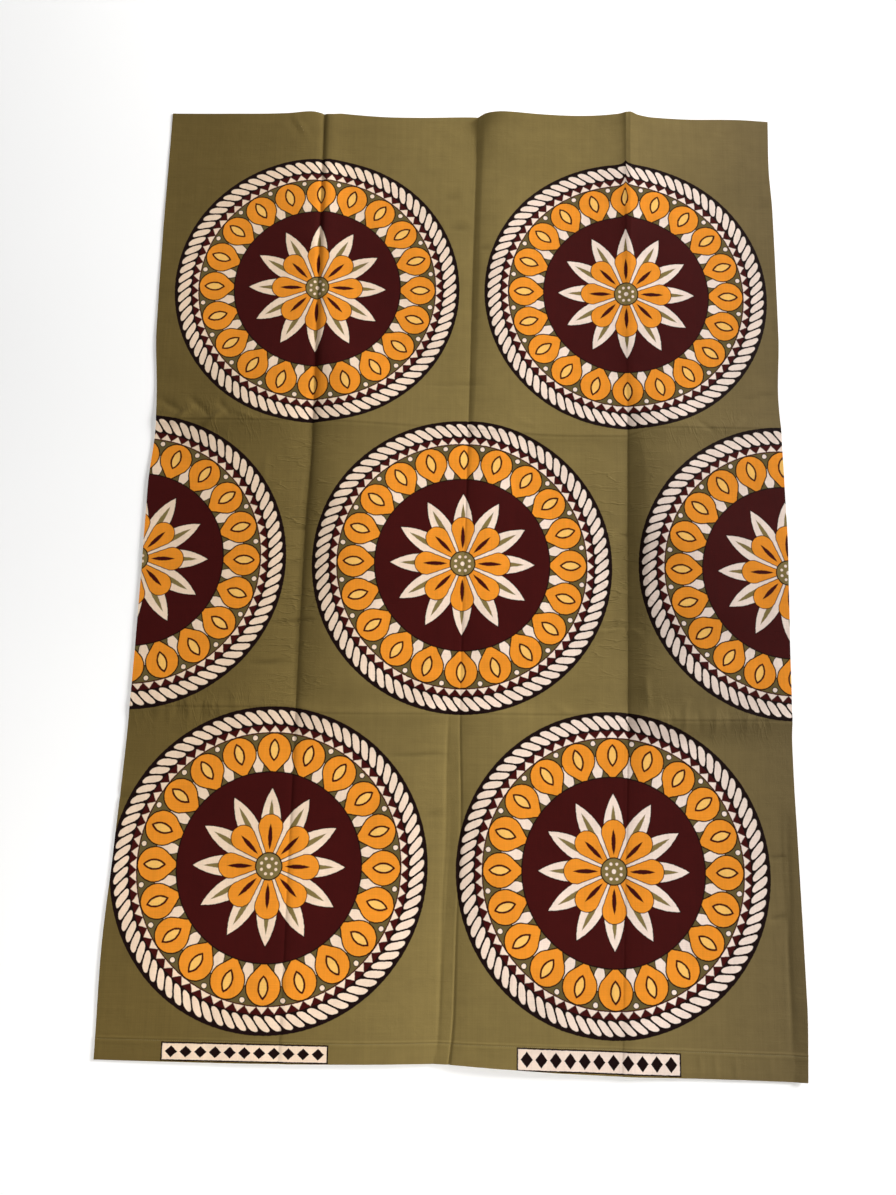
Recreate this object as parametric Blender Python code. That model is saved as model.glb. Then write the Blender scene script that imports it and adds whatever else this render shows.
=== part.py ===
"""Printed cotton wrapper cloth, spread out and lying flat, as one thin wall.

Metres, +Z up. The cloth lies on z = 0. +Y points to the end with the raised waves,
the hemmed end is at -Y, and the origin is the middle of the cloth's box, on the floor.
The panel is worked out row by row from its edges, its fold lines and the rise beside them.
"""

from typing import NamedTuple

import bmesh
import bpy
import numpy as np

MM = 0.001

# Sizes of the cloth, in metres
WIDTH = 1.110
LENGTH = 1.656
WALL = 0.0012
REST_DEPTH = 0.0006
HEM_RISE = 0.0006
HEM_STEP = 0.003
SLOPE_STEP = 0.0015

# Share of the width and length at which the fold lines and the hem's inner edge lie
FIRST_FOLD, HALF_FOLD, LAST_FOLD = 0.25, 0.5, 0.75
HEM_LINE, LOWER_FOLD, UPPER_FOLD = 0.022, 0.336, 0.632

COTTON_COLOUR = (0.195, 0.155, 0.062, 1.0)
COTTON_ROUGHNESS = 0.85


class LinePoint(NamedTuple):
    """A point of an edge or a fold line, in millimetres from the cloth's middle."""

    place: float
    offset: float


class FoldRow(NamedTuple):
    """How the cloth stands beside a long fold at one place on it, in millimetres."""

    y: float
    crest: float
    left_swell: float
    left_reach: float
    right_swell: float
    right_reach: float


class PinchRow(NamedTuple):
    """The narrow ridge or trough of a long fold at one place on it, in millimetres."""

    y: float
    ridge: float
    trough: float
    reach: float


class CrossFoldRow(NamedTuple):
    """How the cloth stands beside a cross fold at one place on it, in millimetres."""

    x: float
    crest: float
    lower_reach: float
    upper_reach: float


class CurlRow(NamedTuple):
    """How far the right edge curls up and how wide the curled strip is, in millimetres."""

    y: float
    rise: float
    strip: float


# Side edges: place is y, offset is x
LEFT_EDGE = (
    LinePoint(-809, -555.5),
    LinePoint(-680, -556.8),
    LinePoint(-500, -549.2),
    LinePoint(-300, -541.3),
    LinePoint(-100, -538.5),
    LinePoint(100, -537.8),
    LinePoint(205, -531.9),
    LinePoint(275, -535.2),
    LinePoint(390, -543.5),
    LinePoint(550, -545.0),
    LinePoint(815, -543.7),
)
RIGHT_EDGE = (
    LinePoint(-828, 546.0),
    LinePoint(-720, 549.8),
    LinePoint(-480, 547.4),
    LinePoint(-290, 546.7),
    LinePoint(-90, 549.5),
    LinePoint(50, 552.6),
    LinePoint(190, 551.8),
    LinePoint(270, 550.2),
    LinePoint(400, 556.6),
    LinePoint(640, 556.2),
    LinePoint(730, 552.8),
    LinePoint(826, 554.8),
)

# Cut ends: place is x, offset is y
BOTTOM_EDGE = (
    LinePoint(-556, -808.3),
    LinePoint(-340, -810.2),
    LinePoint(-170, -809.3),
    LinePoint(-15, -807.5),
    LinePoint(90, -811.9),
    LinePoint(190, -818.0),
    LinePoint(300, -822.3),
    LinePoint(440, -825.1),
    LinePoint(546, -828.1),
)
TOP_EDGE = (
    LinePoint(-544, 814.1),
    LinePoint(-360, 818.4),
    LinePoint(-150, 816.3),
    LinePoint(0, 820.3),
    LinePoint(150, 822.0),
    LinePoint(370, 827.4),
    LinePoint(500, 827.8),
    LinePoint(555, 824.8),
)

# Long fold lines: place is y, offset is x
FIRST_LINE = (
    LinePoint(-825, -271.0),
    LinePoint(-254, -268.1),
    LinePoint(-150, -267.6),
    LinePoint(50, -264.7),
    LinePoint(190, -260.4),
    LinePoint(500, -262.4),
    LinePoint(825, -264.4),
)
HALF_LINE = (
    LinePoint(-825, -10.0),
    LinePoint(-610, -0.9),
    LinePoint(-430, 4.4),
    LinePoint(-274, 0.6),
    LinePoint(250, 8.7),
    LinePoint(460, 11.4),
    LinePoint(825, 18.2),
)
LAST_LINE = (
    LinePoint(-825, 258.0),
    LinePoint(-260, 276.2),
    LinePoint(220, 280.8),
    LinePoint(825, 290.9),
)

# Cross fold lines and the hem's inner edge: place is x, offset is y
UPPER_LINE = (
    LinePoint(-550, 225.0),
    LinePoint(-280, 225.4),
    LinePoint(-6, 216.6),
    LinePoint(170, 207.7),
    LinePoint(277, 209.9),
    LinePoint(335, 223.8),
    LinePoint(556, 228.0),
)
LOWER_LINE = (
    LinePoint(-550, -268.0),
    LinePoint(-280, -265.6),
    LinePoint(-220, -274.4),
    LinePoint(0, -271.5),
    LinePoint(200, -270.4),
    LinePoint(330, -276.6),
    LinePoint(556, -273.0),
)
HEM_INNER_LINE = (
    LinePoint(-556, -774.6),
    LinePoint(-190, -776.4),
    LinePoint(-8, -774.1),
    LinePoint(225, -778.5),
    LinePoint(546, -787.0),
)

# Rise beside each fold. A crest stands on the line itself. A swell is a lobe beside it.
FIRST_FOLD_ROWS = (
    FoldRow(825, 0.4, 8.0, 37.0, 4.6, 19.0),
    FoldRow(730, 0.5, 6.0, 26.0, 8.6, 26.0),
    FoldRow(600, 0.5, 3.0, 24.0, 7.0, 30.0),
    FoldRow(450, 0.5, 1.4, 24.0, 5.0, 34.0),
    FoldRow(210, 0.8, 0.8, 20.0, 4.8, 40.0),
    FoldRow(0, 0.9, 0.8, 18.0, 6.0, 42.0),
    FoldRow(-210, 0.9, 0.8, 18.0, 5.0, 40.0),
    FoldRow(-300, 0.8, 0.6, 18.0, 2.0, 32.0),
    FoldRow(-825, 0.4, 0.4, 18.0, 0.8, 28.0),
)
HALF_FOLD_ROWS = (
    FoldRow(825, 0.4, 0.8, 22.0, 23.0, 45.0),
    FoldRow(700, 0.5, 0.8, 22.0, 15.0, 45.0),
    FoldRow(550, 0.5, 0.8, 20.0, 9.0, 42.0),
    FoldRow(350, 0.5, 0.8, 18.0, 6.5, 38.0),
    FoldRow(210, 0.6, 0.8, 18.0, 4.0, 30.0),
    FoldRow(0, 0.6, 0.8, 16.0, 3.0, 26.0),
    FoldRow(-260, 1.2, 0.8, 14.0, 1.6, 22.0),
    FoldRow(-340, 4.0, 0.0, 13.0, 0.6, 7.0),
    FoldRow(-640, 4.2, 0.0, 13.0, 0.5, 7.0),
    FoldRow(-825, 2.6, 0.0, 14.0, 0.5, 9.0),
)
LAST_FOLD_ROWS = (
    FoldRow(825, 12.0, 0.0, 52.0, 0.0, 20.0),
    FoldRow(730, 10.0, 0.0, 40.0, 0.0, 34.0),
    FoldRow(620, 7.0, 0.0, 34.0, 0.0, 30.0),
    FoldRow(480, 4.0, 0.0, 26.0, 0.0, 24.0),
    FoldRow(350, 2.4, 0.0, 20.0, 0.0, 20.0),
    FoldRow(250, 1.6, 0.0, 16.0, 0.4, 18.0),
    FoldRow(150, 0.8, 0.3, 14.0, 6.5, 44.0),
    FoldRow(0, 0.7, 0.3, 14.0, 8.0, 48.0),
    FoldRow(-220, 0.8, 0.3, 14.0, 7.0, 45.0),
    FoldRow(-310, 1.6, 0.2, 12.0, 2.0, 28.0),
    FoldRow(-825, 1.4, 0.2, 12.0, 1.2, 22.0),
)
FIRST_PINCH_ROWS = (
    PinchRow(825, 0.0, 2.0, 8.0),
    PinchRow(730, 0.0, 3.4, 7.0),
    PinchRow(600, 0.0, 3.0, 7.0),
    PinchRow(450, 0.0, 2.0, 7.0),
    PinchRow(250, 0.0, 1.0, 7.0),
    PinchRow(-825, 0.0, 0.3, 7.0),
)
LAST_PINCH_ROWS = (
    PinchRow(825, 8.0, 0.0, 7.0),
    PinchRow(730, 7.0, 0.0, 6.0),
    PinchRow(620, 5.0, 0.0, 6.0),
    PinchRow(480, 3.0, 0.0, 6.0),
    PinchRow(350, 2.0, 0.0, 6.0),
    PinchRow(230, 1.0, 0.0, 6.0),
    PinchRow(150, 0.0, 0.0, 6.0),
    PinchRow(-825, 0.0, 0.0, 6.0),
)
UPPER_FOLD_ROWS = (
    CrossFoldRow(-556, 2.4, 20.0, 26.0),
    CrossFoldRow(-330, 3.4, 16.0, 20.0),
    CrossFoldRow(-120, 1.6, 12.0, 12.0),
    CrossFoldRow(180, 2.6, 14.0, 18.0),
    CrossFoldRow(330, 3.2, 18.0, 16.0),
    CrossFoldRow(556, 2.2, 16.0, 14.0),
)
LOWER_FOLD_ROWS = (
    CrossFoldRow(-556, 2.2, 16.0, 18.0),
    CrossFoldRow(-300, 3.6, 20.0, 18.0),
    CrossFoldRow(-90, 4.0, 24.0, 12.0),
    CrossFoldRow(120, 2.4, 14.0, 18.0),
    CrossFoldRow(330, 3.6, 18.0, 16.0),
    CrossFoldRow(556, 2.8, 18.0, 14.0),
)
RIGHT_CURL_ROWS = (
    CurlRow(-828, 2.6, 21.0),
    CurlRow(-760, 4.0, 22.0),
    CurlRow(-600, 4.2, 24.0),
    CurlRow(-450, 2.4, 26.0),
    CurlRow(-370, 0.0, 26.0),
    CurlRow(828, 0.0, 26.0),
)

# Spacing of the wall's sections, in millimetres from a fold line or an edge
BESIDE_LONG_FOLD = (5, 11, 21, 36, 58, 92)
BESIDE_CROSS_FOLD = (9, 20, 42, 90)
BELOW_TOP_EDGE = (14, 32, 56, 90, 135, 190, 255)
INSIDE_SIDE_EDGE = (12, 26, 60, 110)
ABOVE_HEM = (25, 70, 150)


def table_columns(rows):
    """Columns of a table as arrays, in metres and with the first one growing."""
    ordered = sorted(rows)
    return np.array(ordered, dtype=float).T * MM


def along(places, values, place):
    """Value at a place, on a smooth curve through a table's rows that never overshoots."""
    spans = np.diff(places)
    rises = np.diff(values) / spans
    before, after = rises[:-1], rises[1:]
    turning = before * after <= 0.0
    total = np.where(turning, 1.0, before + after)
    inner = np.where(turning, 0.0, 2.0 * before * after / total)
    slopes = np.concatenate(([rises[0]], inner, [rises[-1]]))
    spot = float(np.clip(place, places[0], places[-1]))
    index = min(int(np.searchsorted(places, spot, side="right")) - 1, len(spans) - 1)
    span = spans[index]
    share = (spot - places[index]) / span
    rest = 1.0 - share
    start = values[index] * (1.0 + 2.0 * share) + slopes[index] * span * share
    end = values[index + 1] * (1.0 + 2.0 * rest) - slopes[index + 1] * span * rest
    return start * rest**2 + end * share**2


def line_offset(line, place):
    """Offset of an edge or a fold line at a place along it."""
    places, offsets = table_columns(line)
    return along(places, offsets, place)


def row_values(rows, place):
    """Every column of a table after its first, at a place along it."""
    places, *values = table_columns(rows)
    return [along(places, column, place) for column in values]


def between_lines(share, anchors):
    """Position between the two lines that a share of the cloth's width or length lies between."""
    shares = [anchor_share for anchor_share, _ in anchors]
    positions = [position for _, position in anchors]
    return float(np.interp(share, shares, positions))


def cloth_place(across, up):
    """Where a point of the flat cloth lies, from its shares of the width and the length."""
    plain_x = (across - 0.5) * WIDTH
    plain_y = (up - 0.5) * LENGTH
    x = between_lines(across, (
        (0.0, line_offset(LEFT_EDGE, plain_y)),
        (FIRST_FOLD, line_offset(FIRST_LINE, plain_y)),
        (HALF_FOLD, line_offset(HALF_LINE, plain_y)),
        (LAST_FOLD, line_offset(LAST_LINE, plain_y)),
        (1.0, line_offset(RIGHT_EDGE, plain_y)),
    ))
    y = between_lines(up, (
        (0.0, line_offset(BOTTOM_EDGE, plain_x)),
        (HEM_LINE, line_offset(HEM_INNER_LINE, plain_x)),
        (LOWER_FOLD, line_offset(LOWER_LINE, plain_x)),
        (UPPER_FOLD, line_offset(UPPER_LINE, plain_x)),
        (1.0, line_offset(TOP_EDGE, plain_x)),
    ))
    return x, y


def side_rise(distance, crest, swell, reach):
    """Rise at a distance from a fold line, on one side of it."""
    ratio = distance / reach
    return crest * np.exp(-ratio) + swell * ratio * np.exp(1.0 - ratio)


def long_fold_rise(line, rows, x, y):
    """Rise that a long fold gives at a point of the cloth."""
    crest, left_swell, left_reach, right_swell, right_reach = row_values(rows, y)
    distance = x - line_offset(line, y)
    if distance < 0.0:
        return side_rise(-distance, crest, left_swell, left_reach)
    return side_rise(distance, crest, right_swell, right_reach)


def pinch_rise(line, rows, x, y):
    """Rise that the narrow middle of a long fold gives at a point of the cloth."""
    ridge, trough, reach = row_values(rows, y)
    return side_rise(abs(x - line_offset(line, y)), ridge, trough, reach)


def cross_fold_rise(line, rows, x, y):
    """Rise that a cross fold gives at a point of the cloth."""
    crest, lower_reach, upper_reach = row_values(rows, x)
    distance = y - line_offset(line, x)
    if distance < 0.0:
        return side_rise(-distance, crest, 0.0, lower_reach)
    return side_rise(distance, crest, 0.0, upper_reach)


def curl_rise(x, y):
    """Rise of the strip that curls up along the right edge, below the lower cross fold."""
    rise, strip = row_values(RIGHT_CURL_ROWS, y)
    inside = line_offset(RIGHT_EDGE, y) - x
    share = float(np.clip(1.0 - inside / strip, 0.0, 1.0))
    return rise * share


def hem_rise(x, y):
    """Rise of the hem, where the cloth turned under doubles the wall."""
    below = line_offset(HEM_INNER_LINE, x) - y
    return HEM_RISE * float(np.clip(0.5 + below / HEM_STEP, 0.0, 1.0))


def cloth_rise(x, y):
    """Rise of the cloth at a point, over a plain sheet that lies on the floor."""
    return (
        long_fold_rise(FIRST_LINE, FIRST_FOLD_ROWS, x, y)
        + long_fold_rise(HALF_LINE, HALF_FOLD_ROWS, x, y)
        + long_fold_rise(LAST_LINE, LAST_FOLD_ROWS, x, y)
        + pinch_rise(FIRST_LINE, FIRST_PINCH_ROWS, x, y)
        + pinch_rise(LAST_LINE, LAST_PINCH_ROWS, x, y)
        + cross_fold_rise(UPPER_LINE, UPPER_FOLD_ROWS, x, y)
        + cross_fold_rise(LOWER_LINE, LOWER_FOLD_ROWS, x, y)
        + curl_rise(x, y)
        + hem_rise(x, y)
    )


def wall_height(x, y):
    """Vertical height of the wall, which is thicker where the cloth is steep."""
    slope_x = (cloth_rise(x + SLOPE_STEP, y) - cloth_rise(x - SLOPE_STEP, y)) / (2.0 * SLOPE_STEP)
    slope_y = (cloth_rise(x, y + SLOPE_STEP) - cloth_rise(x, y - SLOPE_STEP)) / (2.0 * SLOPE_STEP)
    return WALL * float(np.sqrt(1.0 + slope_x**2 + slope_y**2))


def shares_beside(line_share, distances, size, sides=(-1, 1)):
    """Shares of the width or length at the given distances beside a line, and the line's own."""
    return [line_share] + [
        line_share + side * distance * MM / size for distance in distances for side in sides
    ]


def column_shares():
    """Shares of the width at which the wall has a column of points."""
    shares = shares_beside(0.0, INSIDE_SIDE_EDGE, WIDTH, (1,))
    shares += shares_beside(1.0, INSIDE_SIDE_EDGE, WIDTH, (-1,))
    for fold in (FIRST_FOLD, HALF_FOLD, LAST_FOLD):
        shares += shares_beside(fold, BESIDE_LONG_FOLD, WIDTH)
    return sorted(shares)


def row_shares():
    """Shares of the length at which the wall has a row of points."""
    half_step = HEM_STEP / (2.0 * LENGTH)
    shares = [0.0, HEM_LINE - half_step, HEM_LINE + half_step]
    shares += shares_beside(HEM_LINE, ABOVE_HEM, LENGTH, (1,))[1:]
    shares += shares_beside(1.0, BELOW_TOP_EDGE, LENGTH, (-1,))
    for fold in (LOWER_FOLD, UPPER_FOLD):
        shares += shares_beside(fold, BESIDE_CROSS_FOLD, LENGTH)
    return sorted(shares)


def build_panel_mesh():
    """The cloth as one closed wall: its upper side as a grid, and its underside below it."""
    columns = column_shares()
    rows = row_shares()
    panel = bmesh.new()
    bmesh.ops.create_grid(
        panel, x_segments=len(columns) - 1, y_segments=len(rows) - 1, size=0.5
    )
    underside = panel.verts.layers.float.new("underside")
    for vert in panel.verts:
        column = round((vert.co.x + 0.5) * (len(columns) - 1))
        row = round((vert.co.y + 0.5) * (len(rows) - 1))
        x, y = cloth_place(columns[column], rows[row])
        height = WALL + cloth_rise(x, y)
        vert[underside] = max(0.0, height - wall_height(x, y) - REST_DEPTH)
        vert.co = (x, y, height)
    bmesh.ops.triangulate(panel, faces=panel.faces[:], quad_method="FIXED")
    lower = bmesh.ops.extrude_face_region(panel, geom=panel.faces[:])["geom"]
    for item in lower:
        if isinstance(item, bmesh.types.BMVert):
            item.co.z = item[underside]
    bmesh.ops.recalc_face_normals(panel, faces=panel.faces[:])
    centre_on_box(panel)
    mesh = bpy.data.meshes.new("wrapper_panel")
    panel.to_mesh(mesh)
    panel.free()
    return mesh


def centre_on_box(panel):
    """Moves the cloth so that the origin is the middle of its box."""
    for axis in (0, 1):
        places = [vert.co[axis] for vert in panel.verts]
        middle = (min(places) + max(places)) / 2.0
        for vert in panel.verts:
            vert.co[axis] -= middle


def cotton_material():
    """Plain olive cotton, the ground colour of the cloth."""
    material = bpy.data.materials.new("olive_cotton")
    material.use_nodes = True
    shader = material.node_tree.nodes["Principled BSDF"]
    shader.inputs["Base Color"].default_value = COTTON_COLOUR
    shader.inputs["Roughness"].default_value = COTTON_ROUGHNESS
    shader.inputs["Metallic"].default_value = 0.0
    return material


def clear_scene():
    """Removes the objects that the scene starts with."""
    for item in list(bpy.data.objects):
        bpy.data.objects.remove(item, do_unlink=True)


def main():
    """Builds the wrapper cloth."""
    clear_scene()
    mesh = build_panel_mesh()
    mesh.materials.append(cotton_material())
    mesh.shade_smooth()
    cloth = bpy.data.objects.new("wrapper_panel", mesh)
    bpy.context.collection.objects.link(cloth)


main()
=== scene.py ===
"""Looks of a printed cotton wrapper cloth that lies flat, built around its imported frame.

Metres, +Z up. The cloth lies on z = 0, its hemmed end is at -Y and the end with the raised waves
is at +Y. The tables are in millimetres. Those of edges and folds follow the tables of the part's
source closely, with more rows.
"""

from __future__ import annotations

import logging
from dataclasses import dataclass
from enum import Enum
from typing import Callable, ClassVar, NamedTuple, Sequence, TypeVar, Union

import bpy
import numpy as np
from mathutils import Matrix, Vector

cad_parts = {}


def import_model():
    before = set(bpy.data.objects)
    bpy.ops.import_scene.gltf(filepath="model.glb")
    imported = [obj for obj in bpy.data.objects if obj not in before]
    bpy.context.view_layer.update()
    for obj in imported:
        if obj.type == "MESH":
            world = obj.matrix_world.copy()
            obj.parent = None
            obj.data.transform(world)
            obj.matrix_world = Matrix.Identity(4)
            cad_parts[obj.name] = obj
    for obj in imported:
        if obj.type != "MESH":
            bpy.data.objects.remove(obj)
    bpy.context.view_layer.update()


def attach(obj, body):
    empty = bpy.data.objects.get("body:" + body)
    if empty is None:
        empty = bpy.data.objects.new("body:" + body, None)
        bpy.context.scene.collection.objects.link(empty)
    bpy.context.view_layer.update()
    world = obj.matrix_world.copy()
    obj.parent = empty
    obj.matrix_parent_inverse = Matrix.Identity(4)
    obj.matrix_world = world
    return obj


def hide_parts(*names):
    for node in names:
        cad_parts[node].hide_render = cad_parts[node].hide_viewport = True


LOG = logging.getLogger("wrapper_cloth")
Grid = np.ndarray
Row = TypeVar("Row")
MM = 0.001
FULL_TURN = 2.0 * np.pi
CAD_NODE = "wrapper_panel"
FLAT_PLACE = "flat_place"
# Point attribute of the fold wear, which also sets painted shade along the pressed lines and in the
# deep creases
FOLD_WEAR_AND_SHADE = "fold_wear_and_shade"
BAKE_MAP = "OFBake"


class LinePoint(NamedTuple):
    """A point of an edge or a fold line, in millimetres from the cloth's middle."""

    place: float
    offset: float


class FoldRow(NamedTuple):
    """How the cloth stands beside a long fold at one place on it, in millimetres."""

    y: float
    crest: float
    left_swell: float
    left_reach: float
    right_swell: float
    right_reach: float


class PinchRow(NamedTuple):
    """The narrow ridge or trough of a long fold at one place on it, in millimetres."""

    y: float
    ridge: float
    trough: float
    reach: float


class StepRow(NamedTuple):
    """The slope up to a long fold's pressed line and the dip on the line, in millimetres."""

    y: float
    height: float
    start: float
    end: float
    mark: float


class CrossFoldRow(NamedTuple):
    """How the cloth stands beside a cross fold at one place on it, in millimetres."""

    x: float
    crest: float
    lower_reach: float
    upper_reach: float


class CurlRow(NamedTuple):
    """How far the right edge curls up and how wide the curled strip is, in millimetres."""

    y: float
    rise: float
    strip: float


class Crease(NamedTuple):
    """A short soft ridge, or a trough where its height is below zero, in millimetres."""

    start_x: float
    start_y: float
    end_x: float
    end_y: float
    height: float
    half_width: float


class Wave(NamedTuple):
    """A gentle lift that repeats over the cloth: wavelengths and height in millimetres."""

    across: float
    along: float
    turn: float
    height: float


class LightAndShadePatch(NamedTuple):
    """A soft patch of painted light, or of painted shade where its change is below zero: place and
    reach in millimetres.
    """

    x: float
    y: float
    half_width: float
    half_length: float
    change: float


class DenseBand(NamedTuple):
    """A band where the mesh has more rows: its place, half width and gain over the rest."""

    place: float
    half_width: float
    gain: float


def table(kind: Callable[..., Row], *rows: tuple[float, ...]) -> tuple[Row, ...]:
    """Names the values of a table's rows by their kind."""
    return tuple(kind(*row) for row in rows)


LEFT_EDGE = table(
    LinePoint,
    (-809, -555.5), (-680, -556.8), (-500, -549.2), (-300, -541.3), (-100, -538.5), (100, -537.8),
    (205, -531.9), (275, -535.2), (390, -543.5), (550, -545.0), (815, -543.7),
)
RIGHT_EDGE = table(
    LinePoint,
    (-828, 546.0), (-720, 549.8), (-480, 547.4), (-290, 546.7), (-90, 549.5), (50, 552.6),
    (190, 551.8), (270, 550.2), (400, 556.6), (640, 556.2), (730, 552.8), (826, 554.8),
)
BOTTOM_EDGE = table(
    LinePoint,
    (-556, -808.3), (-340, -810.2), (-170, -809.3), (-15, -807.5), (90, -811.9), (190, -818.0),
    (300, -822.3), (440, -825.1), (546, -828.1),
)
TOP_EDGE = table(
    LinePoint,
    (-544, 814.1), (-345, 818.2), (-300, 822.6), (-264, 817.6), (-246, 820.0), (-150, 816.3),
    (0, 820.3), (150, 822.0), (215, 824.4), (262, 828.4), (287, 831.0), (302, 826.4),
    (330, 823.6), (400, 824.0), (500, 826.8), (555, 824.8),
)
FIRST_LINE = table(
    LinePoint,
    (-825, -271.0), (-254, -268.1), (-150, -267.6), (50, -264.7), (190, -260.4), (500, -262.4),
    (825, -264.4),
)
HALF_LINE = table(
    LinePoint,
    (-825, -11.0), (-740, -3.0), (-610, -0.6), (-430, 4.4), (-274, 0.6), (250, 8.7), (460, 11.4),
    (825, 18.2),
)
LAST_LINE = table(
    LinePoint,
    (-825, 258.0), (-260, 277.4), (-170, 280.0), (0, 282.2), (220, 284.8), (825, 288.8),
)
UPPER_LINE = table(
    LinePoint,
    (-550, 225.0), (-280, 225.4), (-6, 216.6), (170, 207.7), (277, 209.9), (335, 223.8),
    (556, 228.0),
)
LOWER_LINE = table(
    LinePoint,
    (-550, -268.0), (-280, -265.6), (-220, -274.4), (0, -271.5), (200, -270.4), (330, -276.6),
    (556, -273.0),
)
HEM_INNER_LINE = table(
    LinePoint,
    (-556, -774.6), (-190, -776.4), (-8, -774.1), (225, -778.5), (546, -787.0),
)
FIRST_FOLD_ROWS = table(
    FoldRow,
    (825, 0.3, 3.8, 40.0, 4.0, 14.0), (730, 0.3, 3.0, 36.0, 3.4, 12.0),
    (600, 0.3, 2.2, 32.0, 3.2, 14.0), (450, 0.3, 1.8, 34.0, 3.2, 20.0),
    (210, 0.3, 5.4, 74.0, 8.8, 64.0), (0, 0.2, 5.6, 76.0, 11.0, 82.0),
    (-210, 0.2, 4.8, 76.0, 10.0, 80.0), (-300, 0.4, 1.0, 50.0, 2.4, 44.0),
    (-825, 0.4, 0.6, 30.0, 0.8, 28.0),
)
HALF_FOLD_ROWS = table(
    FoldRow,
    (825, 0.2, 0.8, 30.0, 16.0, 46.0), (785, 0.2, 0.8, 30.0, 8.2, 46.0),
    (700, 0.2, 0.8, 30.0, 5.2, 50.0), (550, 0.2, 0.8, 30.0, 5.0, 54.0),
    (350, 0.2, 0.8, 26.0, 4.8, 58.0), (250, 0.2, 0.8, 26.0, 4.4, 58.0),
    (190, 0.2, 0.8, 26.0, 2.8, 46.0), (0, 0.2, 0.8, 26.0, 2.4, 44.0),
    (-250, 0.2, 1.2, 44.0, 3.0, 60.0), (-290, 0.2, 4.6, 100.0, 6.4, 84.0),
    (-340, 0.2, 5.0, 110.0, 7.2, 90.0), (-640, 0.2, 4.6, 110.0, 7.2, 90.0),
    (-825, 0.2, 6.0, 130.0, 7.4, 96.0),
)
LAST_FOLD_ROWS = table(
    FoldRow,
    (825, 7.8, 0.0, 96.0, 0.0, 84.0), (760, 6.4, 0.0, 96.0, 0.0, 84.0),
    (700, 5.6, 0.0, 92.0, 0.0, 84.0), (620, 4.2, 0.0, 80.0, 0.0, 80.0),
    (480, 2.0, 0.0, 50.0, 0.2, 60.0), (350, 0.8, 0.0, 20.0, 1.6, 50.0),
    (275, 0.6, 0.6, 24.0, 5.4, 76.0), (205, 0.2, 2.0, 60.0, 10.4, 86.0),
    (150, 0.2, 2.2, 60.0, 12.4, 92.0), (0, 0.1, 2.6, 70.0, 15.0, 102.0),
    (-220, 0.1, 2.4, 66.0, 14.4, 98.0), (-272, 0.2, 1.4, 50.0, 10.4, 84.0),
    (-320, 0.6, 0.8, 40.0, 2.6, 44.0), (-825, 0.7, 0.4, 24.0, 1.2, 30.0),
)
# The pressed lines: the cloth steps up to their right, and dips on the line itself
FIRST_STEP_ROWS = table(
    StepRow,
    (825, 0.0, -6.0, 1.0, 0.2), (480, 0.6, -6.0, 1.0, 0.3), (210, 2.2, -9.0, 1.0, 0.4),
    (30, 3.0, -10.0, 1.0, 0.5), (-200, 2.4, -9.0, 1.0, 0.5), (-300, 0.8, -8.0, 1.0, 0.4),
    (-825, 0.4, -8.0, 1.0, 0.3),
)
HALF_STEP_ROWS = table(
    StepRow,
    (825, 2.4, 2.5, 11.0, 0.3), (700, 1.8, 2.5, 11.0, 0.4), (350, 1.6, 1.5, 11.0, 0.4),
    (210, 1.2, -3.0, 8.0, 0.4), (0, 0.8, -10.0, 1.0, 0.4), (-250, 1.2, -17.0, 0.0, 0.5),
    (-360, 4.0, -19.0, 0.0, 0.9), (-560, 4.0, -18.0, 0.0, 0.7), (-700, 4.4, -22.0, 0.0, 1.3),
    (-825, 4.8, -24.0, 0.0, 1.6),
)
LAST_STEP_ROWS = table(
    StepRow,
    (825, 3.8, -1.0, 9.0, 0.0), (480, 2.0, -1.0, 8.0, 0.1), (280, 1.0, -3.0, 12.0, 0.2),
    (150, 3.4, -1.0, 28.0, 0.5), (0, 4.2, -1.0, 30.0, 0.6), (-210, 4.0, -1.0, 28.0, 0.6),
    (-272, 2.6, -1.0, 24.0, 0.5), (-330, 0.8, -6.0, 1.0, 0.4), (-560, 0.6, -6.0, 1.0, 0.4),
    (-825, 0.6, -6.0, 1.0, 0.5),
)
FIRST_PINCH_ROWS = table(
    PinchRow,
    (825, 0.0, 0.5, 7.0), (730, 0.0, 0.7, 7.0), (600, 0.0, 0.8, 7.0), (450, 0.0, 0.9, 7.0),
    (250, 0.0, 0.8, 7.0), (-825, 0.0, 0.3, 7.0),
)
LAST_PINCH_ROWS = table(
    PinchRow,
    (825, 2.2, 0.0, 4.0), (760, 1.5, 0.0, 4.0), (620, 1.1, 0.0, 4.4), (480, 0.9, 0.0, 5.0),
    (350, 0.7, 0.0, 6.0), (230, 0.4, 0.0, 6.0), (150, 0.0, 0.0, 6.0), (-825, 0.0, 0.0, 6.0),
)
UPPER_FOLD_ROWS = table(
    CrossFoldRow,
    (-556, 2.4, 20.0, 26.0), (-330, 3.4, 16.0, 20.0), (-120, 1.6, 12.0, 12.0),
    (180, 2.6, 14.0, 18.0), (330, 3.2, 18.0, 16.0), (556, 2.2, 16.0, 14.0),
)
LOWER_FOLD_ROWS = table(
    CrossFoldRow,
    (-556, 2.2, 16.0, 18.0), (-300, 3.6, 20.0, 18.0), (-90, 4.0, 24.0, 12.0),
    (120, 2.4, 14.0, 18.0), (330, 3.6, 18.0, 16.0), (556, 2.8, 18.0, 14.0),
)
RIGHT_CURL_ROWS = table(
    CurlRow,
    (-828, 2.6, 21.0), (-760, 4.0, 22.0), (-600, 4.2, 24.0), (-450, 2.4, 26.0), (-370, 0.0, 26.0),
    (828, 0.0, 26.0),
)

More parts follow.
